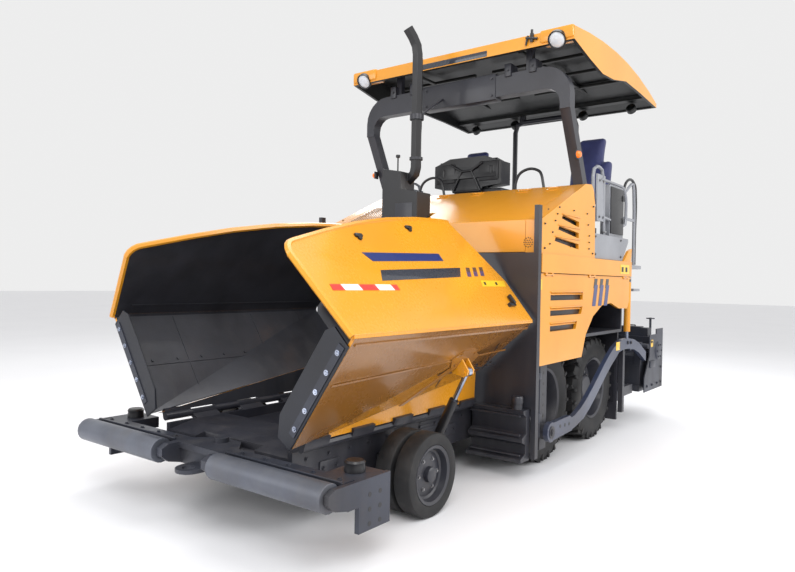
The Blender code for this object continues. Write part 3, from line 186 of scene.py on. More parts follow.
def seat_cloth(name):
    """Dark blue seat cover with a fine rib and a soft sheen."""
    paint = Paint(name)
    weave = paint.noise(260, 2, (1, 1, 1))
    cloud = paint.noise(4, 4)
    blue = paint.mix(cloud.ramp(0.3, 0.8), rgb(32, 38, 84), rgb(52, 60, 116))
    paint.set(Base_Color=blue, Roughness=weave * 0.2 + 0.55, Sheen_Weight=0.3)
    paint.bump(weave, 0.35, 0.002)
    return paint.material


def striped(name, first, second, width, across, along, slope):
    """Stripes of two paints, each width metres, along one axis with a slope on another."""
    paint = Paint(name)
    phase = paint.axis(across) * (1 / width) + paint.axis(along) * (slope / width)
    band = (phase * 0.5).math("FRACT").above(0.5)
    dirt = paint.noise(14, 4).ramp(0.55, 0.85) * 0.35
    flat = paint.mix(band, first, second)
    paint.set(Base_Color=paint.mix(dirt, flat, rgb(120, 100, 80)), Roughness=0.4 + dirt * 0.4,
              Coat_Weight=0.3)
    return paint.material


def glossy(name, colour, rough=0.15, glow=0.0):
    paint = Paint(name)
    cloud = paint.noise(20, 3)
    paint.set(Base_Color=paint.mix(cloud, colour, tuple(c * 0.75 for c in colour[:3]) + (1,)),
              Roughness=cloud * 0.1 + rough, Coat_Weight=0.6, Emission_Color=colour,
              Emission_Strength=glow)
    return paint.material


YELLOW = coated("paver_yellow", rgb(218, 146, 38), rgb(211, 139, 34), 0.29, coat=0.5, dirt=0.08,
                grime=rgb(150, 116, 66), grain=0.03)
YELLOW_WORN = coated("wing_yellow_worn", rgb(220, 148, 36), rgb(212, 140, 32), 0.26, coat=0.5,
                     dirt=0.10, grime=rgb(160, 112, 58), grain=0.03)
# painted shade: a darker, browner yellow for the wing's downward-facing lower panel and its seam
# plates, with a little dust
YELLOW_PAINTED_SHADE = coated("wing_yellow_dusty", rgb(146, 98, 42), rgb(134, 88, 36), 0.24, coat=0.6,
                      dirt=0.15, grime=rgb(128, 98, 66), grain=0.03)
DARK = coated("chassis_dark", rgb(46, 47, 54), rgb(36, 36, 42), 0.40, coat=0.15, dirt=0.3,
              grime=rgb(84, 82, 84))
HOPPER = coated("hopper_inside", rgb(66, 67, 73), rgb(44, 44, 49), 0.36, coat=0.2, metal=0.3,
                dirt=0.45, grime=rgb(98, 96, 96), grain=0.3)
GREY = coated("worn_grey_steel", rgb(64, 67, 77), rgb(48, 50, 58), 0.36, metal=0.35, dirt=0.35,
              grime=rgb(92, 88, 84))
ARM = coated("tow_arm_grey_blue", rgb(54, 62, 84), rgb(42, 48, 66), 0.32, coat=0.3, dirt=0.25,
             grime=rgb(104, 100, 98))
SILVER = coated("platform_silver", rgb(134, 136, 142), rgb(118, 120, 126), 0.34, coat=0.3,
                dirt=0.2, grime=rgb(120, 116, 112))
BLACK = coated("black_fittings", rgb(30, 30, 34), rgb(20, 20, 23), 0.42, coat=0.2, dirt=0.2,
               grime=rgb(60, 58, 58))
# near-black painted shade for the canopy's underside, the inner faces of its rim and the ribs and
# lamps under the roof
UNDERSIDE_PAINTED_SHADE = coated("canopy_underside_painted_shade", rgb(15, 18, 18), rgb(11, 14, 14), 0.5, coat=0.08, dirt=0.1,
                   grime=rgb(24, 26, 26))
RUBBER = tyre_rubber("tyre_rubber")
FLAP = coated("flap_rubber", rgb(25, 28, 39), rgb(18, 20, 28), 0.46, coat=0.1, dirt=0.15,
              grime=rgb(70, 70, 72))
CHROME = bare_steel("polished_rod", rgb(196, 204, 222), 0.16)
BOLT = bare_steel("bolt_steel", rgb(150, 150, 152), 0.38)
ROLLER = coated("roller_steel", rgb(104, 108, 118), rgb(78, 81, 90), 0.36, metal=0.5, dirt=0.3,
                grime=rgb(124, 120, 116))
SEAT = seat_cloth("seat_cover_blue")
HAZARD = striped("hazard_stripes", rgb(206, 40, 30), rgb(236, 232, 226), 0.155, "Y", "Z", 0.45)
LABEL = glossy("blank_label_yellow", rgb(246, 196, 40), 0.35)
PLATE = glossy("blank_plate_dark", rgb(46, 50, 60), 0.22)
STRIPE_BLUE = glossy("trim_stripe_blue", rgb(38, 52, 110), 0.25)
STRIPE_BLACK = glossy("trim_stripe_black", rgb(26, 26, 30), 0.25)
AMBER = glossy("amber_lamp", rgb(255, 120, 10), 0.1, 0.15)
LENS = glossy("clear_lens", rgb(212, 218, 226), 0.06)
SCREEN = glossy("display_glass", rgb(24, 30, 36), 0.05)
HOSE = coated("hose_rubber", rgb(24, 24, 26), rgb(36, 36, 38), 0.5, dirt=0.2)


# ---- Shapes ---------------------------------------------------------------------------------
def shell():
    return bmesh.new()


def toward(direction):
    return Vector(direction).to_track_quat("Z", "Y").to_matrix().to_4x4()


def brick(bm, low, high, edge=0.004, turn=None):
    """Box between two corners with rounded edges; turn is a matrix that moves it afterwards."""
    low, high = Vector(low), Vector(high)
    size = high - low
    place = Matrix.Translation((low + high) / 2) @ Matrix.Diagonal((*size, 1))
    made = bmesh.ops.create_cube(bm, size=1.0, matrix=place)["verts"]
    if edge:
        edges = list({e for v in made for e in v.link_edges})
        offset = min(edge, min(abs(c) for c in size) * 0.4)
        bevelled = bmesh.ops.bevel(bm, geom=edges, offset=offset, offset_type="OFFSET", segments=2,
                                   profile=0.5, affect="EDGES", clamp_overlap=True, material=-1)
        made = bevelled["verts"] + [v for v in made if v.is_valid]
    if turn is not None:
        bmesh.ops.transform(bm, matrix=turn, verts=list(set(made)))
    return made


def disc(bm, centre, axis, radius, thick, sides=16, tip=None):
    """Short cylinder centred on a point; tip is the radius of its far end."""
    place = Matrix.Translation(centre) @ toward(axis)
    return bmesh.ops.create_cone(bm, cap_ends=True, segments=sides, radius1=radius,
                                 radius2=radius if tip is None else tip, depth=thick,
                                 matrix=place)["verts"]


def bar(bm, a, b, radius, sides=12):
    a, b = Vector(a), Vector(b)
    return disc(bm, (a + b) / 2, b - a, radius, (b - a).length, sides)


def bolt(bm, place, axis, radius=0.011):
    """Hexagon head on a washer."""
    axis = Vector(axis).normalized()
    disc(bm, Vector(place) + axis * 0.0015, axis, radius * 1.5, 0.003, 12)
    disc(bm, Vector(place) + axis * 0.007, axis, radius, 0.009, 6, radius * 0.94)


def lathe(bm, outline, axis, centre, steps=48):
    """Outline of (radius, along) spun round an axis through centre."""
    place = Matrix.Translation(centre) @ toward(axis)
    verts = [bm.verts.new(place @ Vector((r, 0, z))) for r, z in outline]
    edges = [bm.edges.new(pair) for pair in zip(verts, verts[1:])]
    spun = bmesh.ops.spin(bm, geom=verts + edges, cent=place @ Vector(), steps=steps,
                          axis=place.to_3x3() @ Vector((0, 0, 1)), angle=2 * math.pi,
                          use_merge=True, use_duplicate=False)
    return spun


def tube(name, points, radius, body, finish, smooth=True):
    """Bent tube or hose along points, as a closed mesh."""
    curve = bpy.data.curves.new(name, "CURVE")
    curve.dimensions, curve.bevel_depth, curve.bevel_resolution = "3D", radius, 3
    curve.use_fill_caps = True
    line = curve.splines.new("BEZIER" if smooth else "POLY")
    knots = line.bezier_points if smooth else line.points
    knots.add(len(points) - 1)
    for knot, p in zip(knots, points):
        knot.co = p if smooth else (*p, 1)
        if smooth:
            knot.handle_left_type = knot.handle_right_type = "AUTO"
    line.resolution_u = 6
    holder = bpy.data.objects.new(name + "_line", curve)
    bpy.context.scene.collection.objects.link(holder)
    bpy.context.view_layer.update()
    view = holder.evaluated_get(bpy.context.evaluated_depsgraph_get())
    mesh = bpy.data.meshes.new_from_object(view)
    bpy.data.objects.remove(holder)
    bm = bmesh.new()
    bm.from_mesh(mesh)
    bpy.data.meshes.remove(mesh)
    return piece(name, bm, body, [finish], 60)


def side_tubes(slot, *rows):
    """Chassis tubes for both sides; a row is the name, the left one's points, radius and finish."""
    for side, sign in SIDES:
        for name, points, radius, finish in rows:
            tube(f"{name}_{side}", [(sign * x, y, z) for x, y, z in points], radius, "chassis",
                 finish)


def piece(name, bm, body, finishes, sharp=35):
    """Finished object made from bm, riding on a body."""
    bmesh.ops.remove_doubles(bm, verts=bm.verts, dist=1e-6)
    bmesh.ops.recalc_face_normals(bm, faces=bm.faces)
    mesh = bpy.data.meshes.new(name)
    bm.to_mesh(mesh)
    bm.free()
    for finish in finishes:
        mesh.materials.append(finish)
    mesh.shade_smooth()
    mesh.set_sharp_from_angle(angle=math.radians(sharp))
    made = bpy.data.objects.new(name, mesh)
    bpy.context.scene.collection.objects.link(made)
    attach(made, body)
    return made


def remade(node, finishes, choose=None, edge=0.004):
    """Copy of a CAD node with softened edges; choose(face) picks each face's finish."""
    bm = bmesh.new()
    bm.from_mesh(frame["nodes"][node].data)
    bmesh.ops.remove_doubles(bm, verts=bm.verts, dist=1e-5)
    bmesh.ops.dissolve_limit(bm, angle_limit=math.radians(1), verts=bm.verts, edges=bm.edges)
    for face in bm.faces:
        face.material_index = choose(face) if choose else 0
    mesh = bpy.data.meshes.new(node + "_look")
    bm.to_mesh(mesh)
    bm.free()
    for finish in finishes:
        mesh.materials.append(finish)
    mesh.shade_smooth()
    mesh.set_sharp_from_angle(angle=math.radians(32))
    made = bpy.data.objects.new(node + "_look", mesh)
    bpy.context.scene.collection.objects.link(made)
    if edge:
        soft = made.modifiers.new("edges", "BEVEL")
        soft.width, soft.segments, soft.limit_method = edge, 2, "ANGLE"
        soft.angle_limit, soft.harden_normals = math.radians(40), True
    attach(made, BODY_OF[node])
    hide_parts(node)
    return made


# ---- Floor, light and camera ----------------------------------------------------------------
CAMERA_PLACE = (3.5215, -5.527, 1.574)
CAMERA_TURNS = (37.19, -0.477, 1.047)      # heading, pitch and roll in degrees
CAMERA_LENS, CAMERA_SENSOR = 30.07, 36     # millimetres
FLOOR_HALF = 60
WORLD_LIGHT = 0.85
LIGHT_TARGET = (0, -0.5, 1.2)
LIGHTS = (("key", (5.5, -6.5, 7.5), 5.0, 520), ("fill", (7.5, 2.5, 4.5), 5.0, 300),
          ("front", (-3.0, -9.0, 4.0), 5.0, 210), ("rear", (-5.0, 7.0, 6.0), 5.0, 240),
          ("top", (0.0, 0.5, 9.0), 6.0, 320))       # name, place, size and power


def set_stage():
    bm = bmesh.new()
    bmesh.ops.create_grid(bm, x_segments=2, y_segments=2, size=FLOOR_HALF)
    mesh = bpy.data.meshes.new("studio_floor")
    bm.to_mesh(mesh)
    bm.free()
    floor = bpy.data.objects.new("studio_floor", mesh)
    bpy.context.scene.collection.objects.link(floor)
    paint = Paint("pale_floor")
    cloud = paint.noise(0.6, 4)
    paint.set(Base_Color=paint.mix(cloud, rgb(236, 236, 238), rgb(228, 228, 231)), Roughness=0.55)
    mesh.materials.append(paint.material)
    world = bpy.data.worlds.new("studio")
    world.use_nodes = True
    world.node_tree.nodes["Background"].inputs["Color"].default_value = (1, 1, 1, 1)
    world.node_tree.nodes["Background"].inputs["Strength"].default_value = WORLD_LIGHT
    bpy.context.scene.world = world
    bpy.context.scene.view_settings.view_transform = "Standard"
    for name, place, size, power in LIGHTS:
        light = bpy.data.lights.new(name, "AREA")
        light.size, light.energy = size, power
        lamp = bpy.data.objects.new(name, light)
        lamp.location = place
        lamp.rotation_euler = (Vector(LIGHT_TARGET) - Vector(place)).to_track_quat(
            "-Z", "Y").to_euler()
        bpy.context.scene.collection.objects.link(lamp)


def set_camera():
    heading, pitch, roll = (math.radians(turn) for turn in CAMERA_TURNS)
    ahead = Vector((-math.sin(heading) * math.cos(pitch), math.cos(heading) * math.cos(pitch),
                    math.sin(pitch)))
    right = Vector((math.cos(heading), math.sin(heading), 0))
    up = right.cross(ahead)
    right, up = (right * math.cos(roll) + up * math.sin(roll),
                 up * math.cos(roll) - right * math.sin(roll))
    view = bpy.data.cameras.new("camera")
    view.lens, view.sensor_width = CAMERA_LENS, CAMERA_SENSOR
    turn = Matrix((right, up, -ahead)).transposed().to_4x4()
    camera = bpy.data.objects.new("camera", view)
    camera.matrix_world = Matrix.Translation(CAMERA_PLACE) @ turn
    bpy.context.scene.collection.objects.link(camera)
    bpy.context.scene.camera = camera


set_stage()
set_camera()

# ---- The CAD solids with their finishes -----------------------------------------------------
PLAIN = {"main_frame": DARK, "engine_block": DARK, "front_axle": DARK, "exhaust_stack": BLACK,
         "front_arch": DARK, "rear_arch": DARK, "auger_frame": DARK, "push_bar": GREY,
         "screed": GREY, "console_rail": GREY, "engine_hood": YELLOW, "operator_platform": SILVER,
         "control_console": BLACK}
for side, sign in SIDES:
    PLAIN.update({f"{n}_{side}": m for n, m in (
        ("step_box", DARK), ("steering_knuckle", GREY), ("push_roller", ROLLER), ("tow_arm", ARM),
        ("screed_extension", GREY), ("hopper_flap", FLAP), ("side_door", YELLOW),
        ("body_side", YELLOW), ("side_gate", SILVER), ("wing_cylinder", BLACK),
        ("wing_cylinder_rod", CHROME), ("lift_cylinder", YELLOW), ("lift_cylinder_rod", CHROME))})
for node, finish in PLAIN.items():
    remade(node, [finish])
HINGE_TOP, CREASE_Z = 0.615, 1.27     # heights that part the wing's finishes
SHEET_AREA = 0.02                     # smaller faces belong to the rim
ROOF_MIDDLE_Y = 1.1
for side, sign in SIDES:
    def inside(face, sign=sign):
        """The wing's knuckles and inner faces are dark; its downward-facing sloping outside gets a
        darker, browner yellow as painted shade.
        """
        height = face.calc_center_median().z
        if height < HINGE_TOP:
            return 2
        if face.normal.x * sign < -0.4 and face.calc_area() > SHEET_AREA:
            return 1
        # downward-facing faces below the crease get the painted shade
        return 3 if face.normal.z < -0.3 and height < CREASE_Z else 0
    remade(f"hopper_wing_{side}", [YELLOW_WORN, HOPPER, DARK, YELLOW_PAINTED_SHADE], inside)


def under_roof(face):
    """The canopy's underside and the inner faces of its rim get near-black painted shade."""
    place, way = face.calc_center_median(), face.normal
    inward = way.x * place.x < -0.3 or way.y * (place.y - ROOF_MIDDLE_Y) < -0.3
    return 1 if way.z < -0.5 or inward else 0


remade("canopy", [YELLOW, UNDERSIDE_PAINTED_SHADE], under_roof)


def hand_made(name, make, body, finishes, sharp=35):
    """Piece made for the left and mirrored for the right; body may hold a {} for the side."""
    for side, sign in SIDES:
        bm = shell()
        make(bm)
        if sign < 0:
            bmesh.ops.scale(bm, vec=(-1, 1, 1), verts=bm.verts)
        piece(f"{name}_{side}", bm, body.format(side), finishes, sharp)


def paint_new(bm, index, before):
    """Gives the faces made since before was taken the finish with that number."""
    for face in bm.faces:
        if face not in before:
            face.material_index = index


def painted_as(bm, index, verts):
    """Gives the faces that touch those verts the finish with that number."""
    for face in {f for v in verts if v.is_valid for f in v.link_faces}:
        face.material_index = index


# ---- Hopper wings ---------------------------------------------------------------------------
LEAN = math.radians(130)
CREASE = Vector((1.18, 0, CREASE_Z))
HINGE = Vector((0.69, 0, 0.56))
RISE = (CREASE - HINGE).normalized()
OUTWARD = Vector((RISE.z, 0, -RISE.x))
SKIN = 0.02

UPPER = Matrix(((0, math.cos(LEAN), math.sin(LEAN), CREASE.x), (1, 0, 0, 0),
                (0, math.sin(LEAN), -math.cos(LEAN), CREASE.z), (0, 0, 0, 1)))
LOWER = Matrix(((0, RISE.x, OUTWARD.x, HINGE.x), (1, 0, 0, 0),
                (0, RISE.z, OUTWARD.z, HINGE.z), (0, 0, 0, 1)))


def sticker(bm, place, outline, lift=SKIN, thick=0.0022, index=0):
    """Flat plate with an outline of (y, up) on a wing panel."""
    verts = [bm.verts.new(place @ Vector((y, up, lift))) for y, up in outline]
    face = bm.faces.new(verts)
    made = bmesh.ops.extrude_face_region(bm, geom=[face])["geom"]
    moved = [g for g in made if isinstance(g, bmesh.types.BMVert)]
    bmesh.ops.translate(bm, vec=place.to_3x3() @ Vector((0, 0, thick)), verts=moved)
    painted_as(bm, index, verts + moved)


def slanted(y, up, width, height, lean=0.03):
    return [(y, up), (y + width, up), (y + width + lean, up + height), (y + lean, up + height)]


def wing_marks(bm):
    sticker(bm, UPPER, slanted(-2.80, 0.30, 0.62, 0.044, 0.0), index=0)
    sticker(bm, UPPER, [(-2.30, 0.375), (-1.33, 0.425), (-1.25, 0.515), (-2.25, 0.462)], index=1)
    sticker(bm, UPPER, [(-2.27, 0.535), (-1.42, 0.575), (-1.42, 0.645), (-2.33, 0.605)], index=2)
    for k in range(3):
        y = -1.225 + 0.105 * k
        sticker(bm, UPPER, slanted(y, 0.430 + 0.006 * k, 0.055, 0.045), index=2)
        sticker(bm, UPPER, slanted(y + 0.03, 0.475 + 0.006 * k, 0.055, 0.045), index=1)
    sticker(bm, UPPER, slanted(-1.10, 0.335, 0.37, 0.06, 0.03), index=3)
    for k in range(2):
        sticker(bm, UPPER, slanted(-1.06 + 0.18 * k, 0.350, 0.03, 0.028, 0.01), SKIN + 0.002,
                0.001, 4)


def wing_clips(bm):
    for y, up in ((-2.26, 0.742), (-1.60, 0.876)):
        brick(bm, (y - 0.035, up - 0.004, SKIN - 0.002), (y + 0.035, up + 0.022, SKIN + 0.016),
              0.004, UPPER)
        made = disc(bm, (y, up - 0.012, SKIN + 0.006), (0, 0, 1), 0.018, 0.014, 12)
        bmesh.ops.transform(bm, matrix=UPPER, verts=made)
    brick(bm, (-0.90, 0.135, SKIN - 0.002), (-0.81, 0.158, SKIN + 0.02), 0.005, UPPER)
    brick(bm, (-0.845, 0.150, SKIN + 0.004), (-0.815, 0.235, SKIN + 0.034), 0.007, UPPER)
    made = disc(bm, (-0.905, 0.147, SKIN + 0.012), (0, 0, 1), 0.017, 0.024, 14)
    bmesh.ops.transform(bm, matrix=UPPER, verts=made)


def wing_seam(bm):
    """Overlapping sheet and doubler plate on the sloping panel, and the rows of welds."""
    sticker(bm, LOWER, [(-2.80, 0.515), (-0.86, 0.60), (-0.86, 0.612), (-2.80, 0.527)], SKIN,
            0.005)
    sticker(bm, LOWER, [(-2.80, 0.805), (-0.72, 0.805), (-0.72, 0.822), (-2.80, 0.822)], SKIN,
            0.007)
    sticker(bm, LOWER, [(-1.56, 0.50), (-1.32, 0.50), (-1.26, 0.585), (-1.36, 0.66),
                        (-1.52, 0.66), (-1.62, 0.585)], SKIN, 0.008)
    sticker(bm, LOWER, [(-1.95, 0.22), (-1.90, 0.22), (-1.49, 0.50), (-1.53, 0.53)], SKIN, 0.010)
    for y, up in ((-1.53, 0.53), (-1.35, 0.53), (-1.53, 0.63), (-1.35, 0.63)):
        made = disc(bm, (y, up, SKIN + 0.011), (0, 0, 1), 0.014, 0.010, 6)
        bmesh.ops.transform(bm, matrix=LOWER, verts=made)


def wing_ribs(bm):
    """Folded stiffener and bolted liner joints on the inside of the wing."""
    for y in (-2.35, -1.55, -0.98):
        low = 0.10 + 0.16 * (y + 2.83)
        sticker(bm, LOWER, [(y, low), (y + 0.01, low), (y + 0.01, 0.84), (y, 0.84)], -0.004, 0.004)
    sticker(bm, LOWER, [(-2.80, 0.42), (-0.80, 0.42), (-0.80, 0.432), (-2.80, 0.432)], -0.005,
            0.005)
    sticker(bm, UPPER, [(-2.74, 0.10), (-0.76, 0.10), (-0.76, 0.112), (-2.74, 0.112)], -0.004,
            0.004)
    for k in range(9):
        made = disc(bm, (-2.66 + 0.22 * k, 0.46, -0.004), (0, 0, -1), 0.013, 0.010, 6)
        bmesh.ops.transform(bm, matrix=LOWER, verts=made)


hand_made("wing_markings", wing_marks, "wing_{}", [HAZARD, PLATE, STRIPE_BLUE, LABEL, BLACK])
hand_made("wing_clips_and_latch", wing_clips, "wing_{}", [BLACK])
# the seam plates on the lower panel carry the same painted shade
hand_made("wing_seams", wing_seam, "wing_{}", [YELLOW_PAINTED_SHADE])
hand_made("wing_liner_joints", wing_ribs, "wing_{}", [HOPPER])


def flap_strip(bm):
    """Clamping strip with five bolts on the face of the rubber flap."""
    low, high = HINGE + RISE * 0.12 - OUTWARD * 0.02, CREASE - RISE * 0.08 - OUTWARD * 0.02
    front = -2.8453
    corners = [low - OUTWARD * 0.024, low + OUTWARD * 0.024, high + OUTWARD * 0.024,
               high - OUTWARD * 0.024]
    verts = [bm.verts.new((c.x, front, c.z)) for c in corners]
    face = bm.faces.new(verts)
    made = bmesh.ops.extrude_face_region(bm, geom=[face])["geom"]
    moved = [g for g in made if isinstance(g, bmesh.types.BMVert)]
    bmesh.ops.translate(bm, vec=(0, -0.006, 0), verts=moved)
    for k in range(5):
        spot = low.lerp(high, (k + 0.35) / 4.7)
        before = set(bm.faces)
        disc(bm, (spot.x, front - 0.0075, spot.z), (0, -1, 0), 0.017, 0.004, 14)
        disc(bm, (spot.x, front - 0.013, spot.z), (0, -1, 0), 0.011, 0.010, 10, 0.008)
        paint_new(bm, 1, before)


hand_made("flap_strip", flap_strip, "wing_{}", [GREY, CHROME])

# ---- Running gear ---------------------------------------------------------------------------
SMALL_X, SMALL_R, FRONT_Y = (0.84, 1.0), 0.28, -1.85
DRIVE_X, DRIVE_R, DRIVE_Y = 0.88, 0.52, (-0.08, 1.07)


def small_wheels(bm):
    """Two solid tyres on dished rims that share a hub."""
    for x in SMALL_X:
        lathe(bm, ((0.202, -0.062), (0.215, -0.0665), (0.262, -0.0665), (0.274, -0.062),
                   (0.280, -0.052), (0.280, 0.052), (0.274, 0.062), (0.262, 0.0665),
                   (0.215, 0.0665), (0.202, 0.062), (0.198, 0.05), (0.198, -0.05),
                   (0.202, -0.062)), (1, 0, 0), (x, FRONT_Y, SMALL_R), 64)
    before = set(bm.faces)
    for x, depth in ((SMALL_X[1], 0.0), (SMALL_X[0], -0.02)):
        lathe(bm, ((0.0, 0.018 + depth), (0.085, 0.018 + depth), (0.150, 0.004 + depth),
                   (0.166, 0.012), (0.176, 0.055), (0.198, 0.063), (0.201, 0.055), (0.201, -0.06),
                   (0.190, -0.063), (0.165, -0.03), (0.0, -0.03)),
              (1, 0, 0), (x, FRONT_Y, SMALL_R), 56)
    lathe(bm, ((0.0, 0.058), (0.040, 0.058), (0.052, 0.050), (0.054, 0.018), (0.0, 0.018)),
          (1, 0, 0), (SMALL_X[1], FRONT_Y, SMALL_R), 32)
    lathe(bm, ((0.0, 0.02), (0.12, 0.02), (0.12, -0.09), (0.0, -0.09)), (1, 0, 0),
          (0.97, FRONT_Y, SMALL_R), 32)
    paint_new(bm, 1, before)
    before = set(bm.faces)
    for k in range(6):
        turn = math.tau * k / 6
        bolt(bm, (SMALL_X[1] + 0.013, FRONT_Y + 0.105 * math.cos(turn),
                  SMALL_R + 0.105 * math.sin(turn)), (1, 0, 0), 0.010)
    paint_new(bm, 2, before)


def drive_wheel(bm, y):
    """Big tyre with a lugged tread on a dished rim with a bolted hub."""
    lathe(bm, ((0.300, -0.150), (0.330, -0.166), (0.430, -0.170), (0.478, -0.160),
               (0.500, -0.138), (0.503, 0.0), (0.500, 0.138), (0.478, 0.160), (0.430, 0.170),
               (0.330, 0.166), (0.300, 0.150), (0.294, 0.10), (0.294, -0.10), (0.300, -0.150)),
          (1, 0, 0), (DRIVE_X, y, DRIVE_R), 72)
    for k in range(48):
        turn = Matrix.Rotation(math.tau * (k + 0.5) / 48, 4, "X")
        place = Matrix.Translation((DRIVE_X, y, DRIVE_R)) @ turn
        side = 1 if k % 2 else -1
        skew = Matrix.Rotation(side * math.radians(24), 4, "Z")
        brick(bm, (-0.076, -0.019, 0.488), (0.076, 0.019, 0.5195), 0.004,
              place @ Matrix.Translation((side * 0.078, 0, 0)) @ skew)
        brick(bm, (-0.012, -0.015, 0.445), (0.012, 0.015, 0.505), 0.004,
              place @ Matrix.Translation((side * 0.158, 0, 0)))
    before = set(bm.faces)
    lathe(bm, ((0.0, 0.05), (0.10, 0.05), (0.175, 0.035), (0.215, 0.005), (0.252, 0.02),
               (0.268, 0.10), (0.285, 0.150), (0.306, 0.160), (0.308, 0.148), (0.298, 0.14),
               (0.296, -0.14), (0.285, -0.15), (0.262, -0.10), (0.246, -0.02), (0.0, -0.02)),
          (1, 0, 0), (DRIVE_X, y, DRIVE_R), 64)
    lathe(bm, ((0.0, 0.088), (0.105, 0.088), (0.122, 0.075), (0.125, 0.04), (0.0, 0.04)),
          (1, 0, 0), (DRIVE_X, y, DRIVE_R), 40)
    paint_new(bm, 1, before)
    before = set(bm.faces)
    for k in range(10):
        turn = math.tau * k / 10
        bolt(bm, (DRIVE_X + 0.038, y + 0.155 * math.cos(turn), DRIVE_R + 0.155 * math.sin(turn)),
             (1, 0, 0), 0.014)
    paint_new(bm, 2, before)


hand_made("front_twin_wheels", small_wheels, "steered_wheels_{}", [RUBBER, DARK, BOLT])
hand_made("front_drive_tyre", lambda bm: drive_wheel(bm, DRIVE_Y[0]), "drive_front_{}",
          [RUBBER, DARK, BOLT])
hand_made("rear_drive_tyre", lambda bm: drive_wheel(bm, DRIVE_Y[1]), "drive_rear_{}",
          [RUBBER, DARK, BOLT])
for side, sign in SIDES:
    for made, node in (("front_twin_wheels", "front_wheels"),
                       ("front_drive_tyre", "drive_wheel_front"),
                       ("rear_drive_tyre", "drive_wheel_rear")):
        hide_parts(f"{node}_{side}")


def chassis_fittings(bm):
    """Bolts, cover plates and weld lugs along the chassis beam under the wing."""
    for k in range(10):
        bolt(bm, (0.6401, -2.62 + 0.2 * k, 0.47), (1, 0, 0), 0.011)
    for y in (-2.42, -1.02):
        brick(bm, (0.636, y - 0.09, 0.34), (0.652, y + 0.09, 0.43), 0.005)
        for dy in (-0.06, 0.06):
            bolt(bm, (0.652, y + dy, 0.385), (1, 0, 0), 0.012)
    for k in range(4):
        brick(bm, (0.636, -1.42, 0.415 + 0.026 * k), (0.646, -1.10, 0.424 + 0.026 * k), 0.003)


hand_made("beam_fittings", chassis_fittings, "chassis", [DARK])


def ledge_fittings(bm):
    """Rubber buffer and lips on the stepped box before the bulkhead."""
    lathe(bm, ((0.0, 0.665), (0.040, 0.665), (0.046, 0.655), (0.046, 0.612), (0.0, 0.612)),
          (0, 0, 1), (1.09, -0.705, 0.0), 32)
    for z in (0.21, 0.37, 0.52):
        bar(bm, (0.70, -0.772, z), (1.15, -0.772, z), 0.007, 10)


hand_made("step_box_fittings", ledge_fittings, "chassis", [DARK])
side_tubes("rubber", ("wing_hose", (
    (0.80, -1.40, 0.48), (0.83, -1.36, 0.40), (0.78, -1.30, 0.30), (0.72, -1.27, 0.26),
    (0.655, -1.22, 0.33), (0.648, -1.16, 0.42)), 0.010, HOSE))

# ---- Push bar -------------------------------------------------------------------------------
def push_bar_fittings(bm):
    """Round rubber buffer, end plate bolts and scraper strip of one half of the push bar."""
    lathe(bm, ((0.0, 0.562), (0.050, 0.562), (0.060, 0.550), (0.057, 0.535), (0.060, 0.520),
               (0.060, 0.498), (0.0, 0.498)), (0, 0, 1), (1.10, -2.70, 0.004), 36)
    before = set(bm.faces)
    for y in (-2.74, -2.65):
        for z in (0.25, 0.33, 0.41):
            disc(bm, (1.2452, y, z), (1, 0, 0), 0.014, 0.0016, 14)
    paint_new(bm, 1, before)
    before = set(bm.faces)
    brick(bm, (0.26, -2.935, 0.503), (1.205, -2.918, 0.515), 0.003)
    brick(bm, (0.26, -2.932, 0.49), (1.205, -2.92, 0.508), 0.003)
    for k in range(5):
        bolt(bm, (0.34 + 0.2 * k, -2.87, 0.500), (0, 0, 1), 0.012)
    paint_new(bm, 2, before)


hand_made("push_bar_fittings", push_bar_fittings, "push_bar_unit", [BLACK, BLACK, GREY])

# ---- Hood and body sides --------------------------------------------------------------------
NOSE, PEAK = Vector((0, -0.565, 2.09)), Vector((0, 0.36, 2.49))
SLOPE = (PEAK - NOSE).normalized()
HOOD = Matrix(((1, 0, 0, 0), (0, SLOPE.y, -SLOPE.z, NOSE.y), (0, SLOPE.z, SLOPE.y, NOSE.z),
               (0, 0, 0, 1)))


def hood_grille(bm):
    """Perforated sheet on the far front slope of the hood, in a thin frame."""
    brick(bm, (-1.02, 0.10, -0.001), (-0.56, 0.66, 0.003), 0.002, HOOD)
    before = set(bm.faces)
    for row in range(22):
        for col in range(18):
            x = -1.00 + 0.0247 * col + (0.0123 if row % 2 else 0)
            made = disc(bm, (x, 0.125 + 0.0243 * row, 0.0035), (0, 0, 1), 0.0075, 0.0015, 8)
            bmesh.ops.transform(bm, matrix=HOOD, verts=made)
    paint_new(bm, 1, before)


def hood_details(bm):
    """Hinges on top of the hood."""
    for x in (-0.30, 0.10, 0.62, 0.92):
        brick(bm, (x - 0.055, 0.86, 0.0), (x + 0.055, 0.905, 0.006), 0.002, HOOD)
        brick(bm, (x - 0.055, 0.93, 0.0), (x + 0.055, 0.975, 0.006), 0.002, HOOD)
        made = bar(bm, (x - 0.05, 0.918, 0.008), (x + 0.05, 0.918, 0.008), 0.009, 12)
        bmesh.ops.transform(bm, matrix=HOOD, verts=made)


bm = shell()
hood_grille(bm)
piece("hood_grille", bm, "hood", [YELLOW, BLACK])
bm = shell()
hood_details(bm)
piece("hood_hinges", bm, "hood", [YELLOW])

PANEL_X = 1.2005      # just outside the side panels
FACE = Matrix(((0, 0, 1, 1.20), (1, 0, 0, 0), (0, 1, 0, 0), (0, 0, 0, 1)))


def cheek_holes(bm):
    """Round field of small holes in the front cheek beside the hood."""
    middle = Vector((1.088, -0.5656, 1.905))
    for ring, count in ((0.0, 1), (0.019, 6), (0.038, 12)):
        for k in range(count):
            turn = math.tau * k / count
            spot = middle + Vector((ring * math.cos(turn), 0, ring * math.sin(turn)))
            disc(bm, spot, (0, -1, 0), 0.0055, 0.0015, 10)


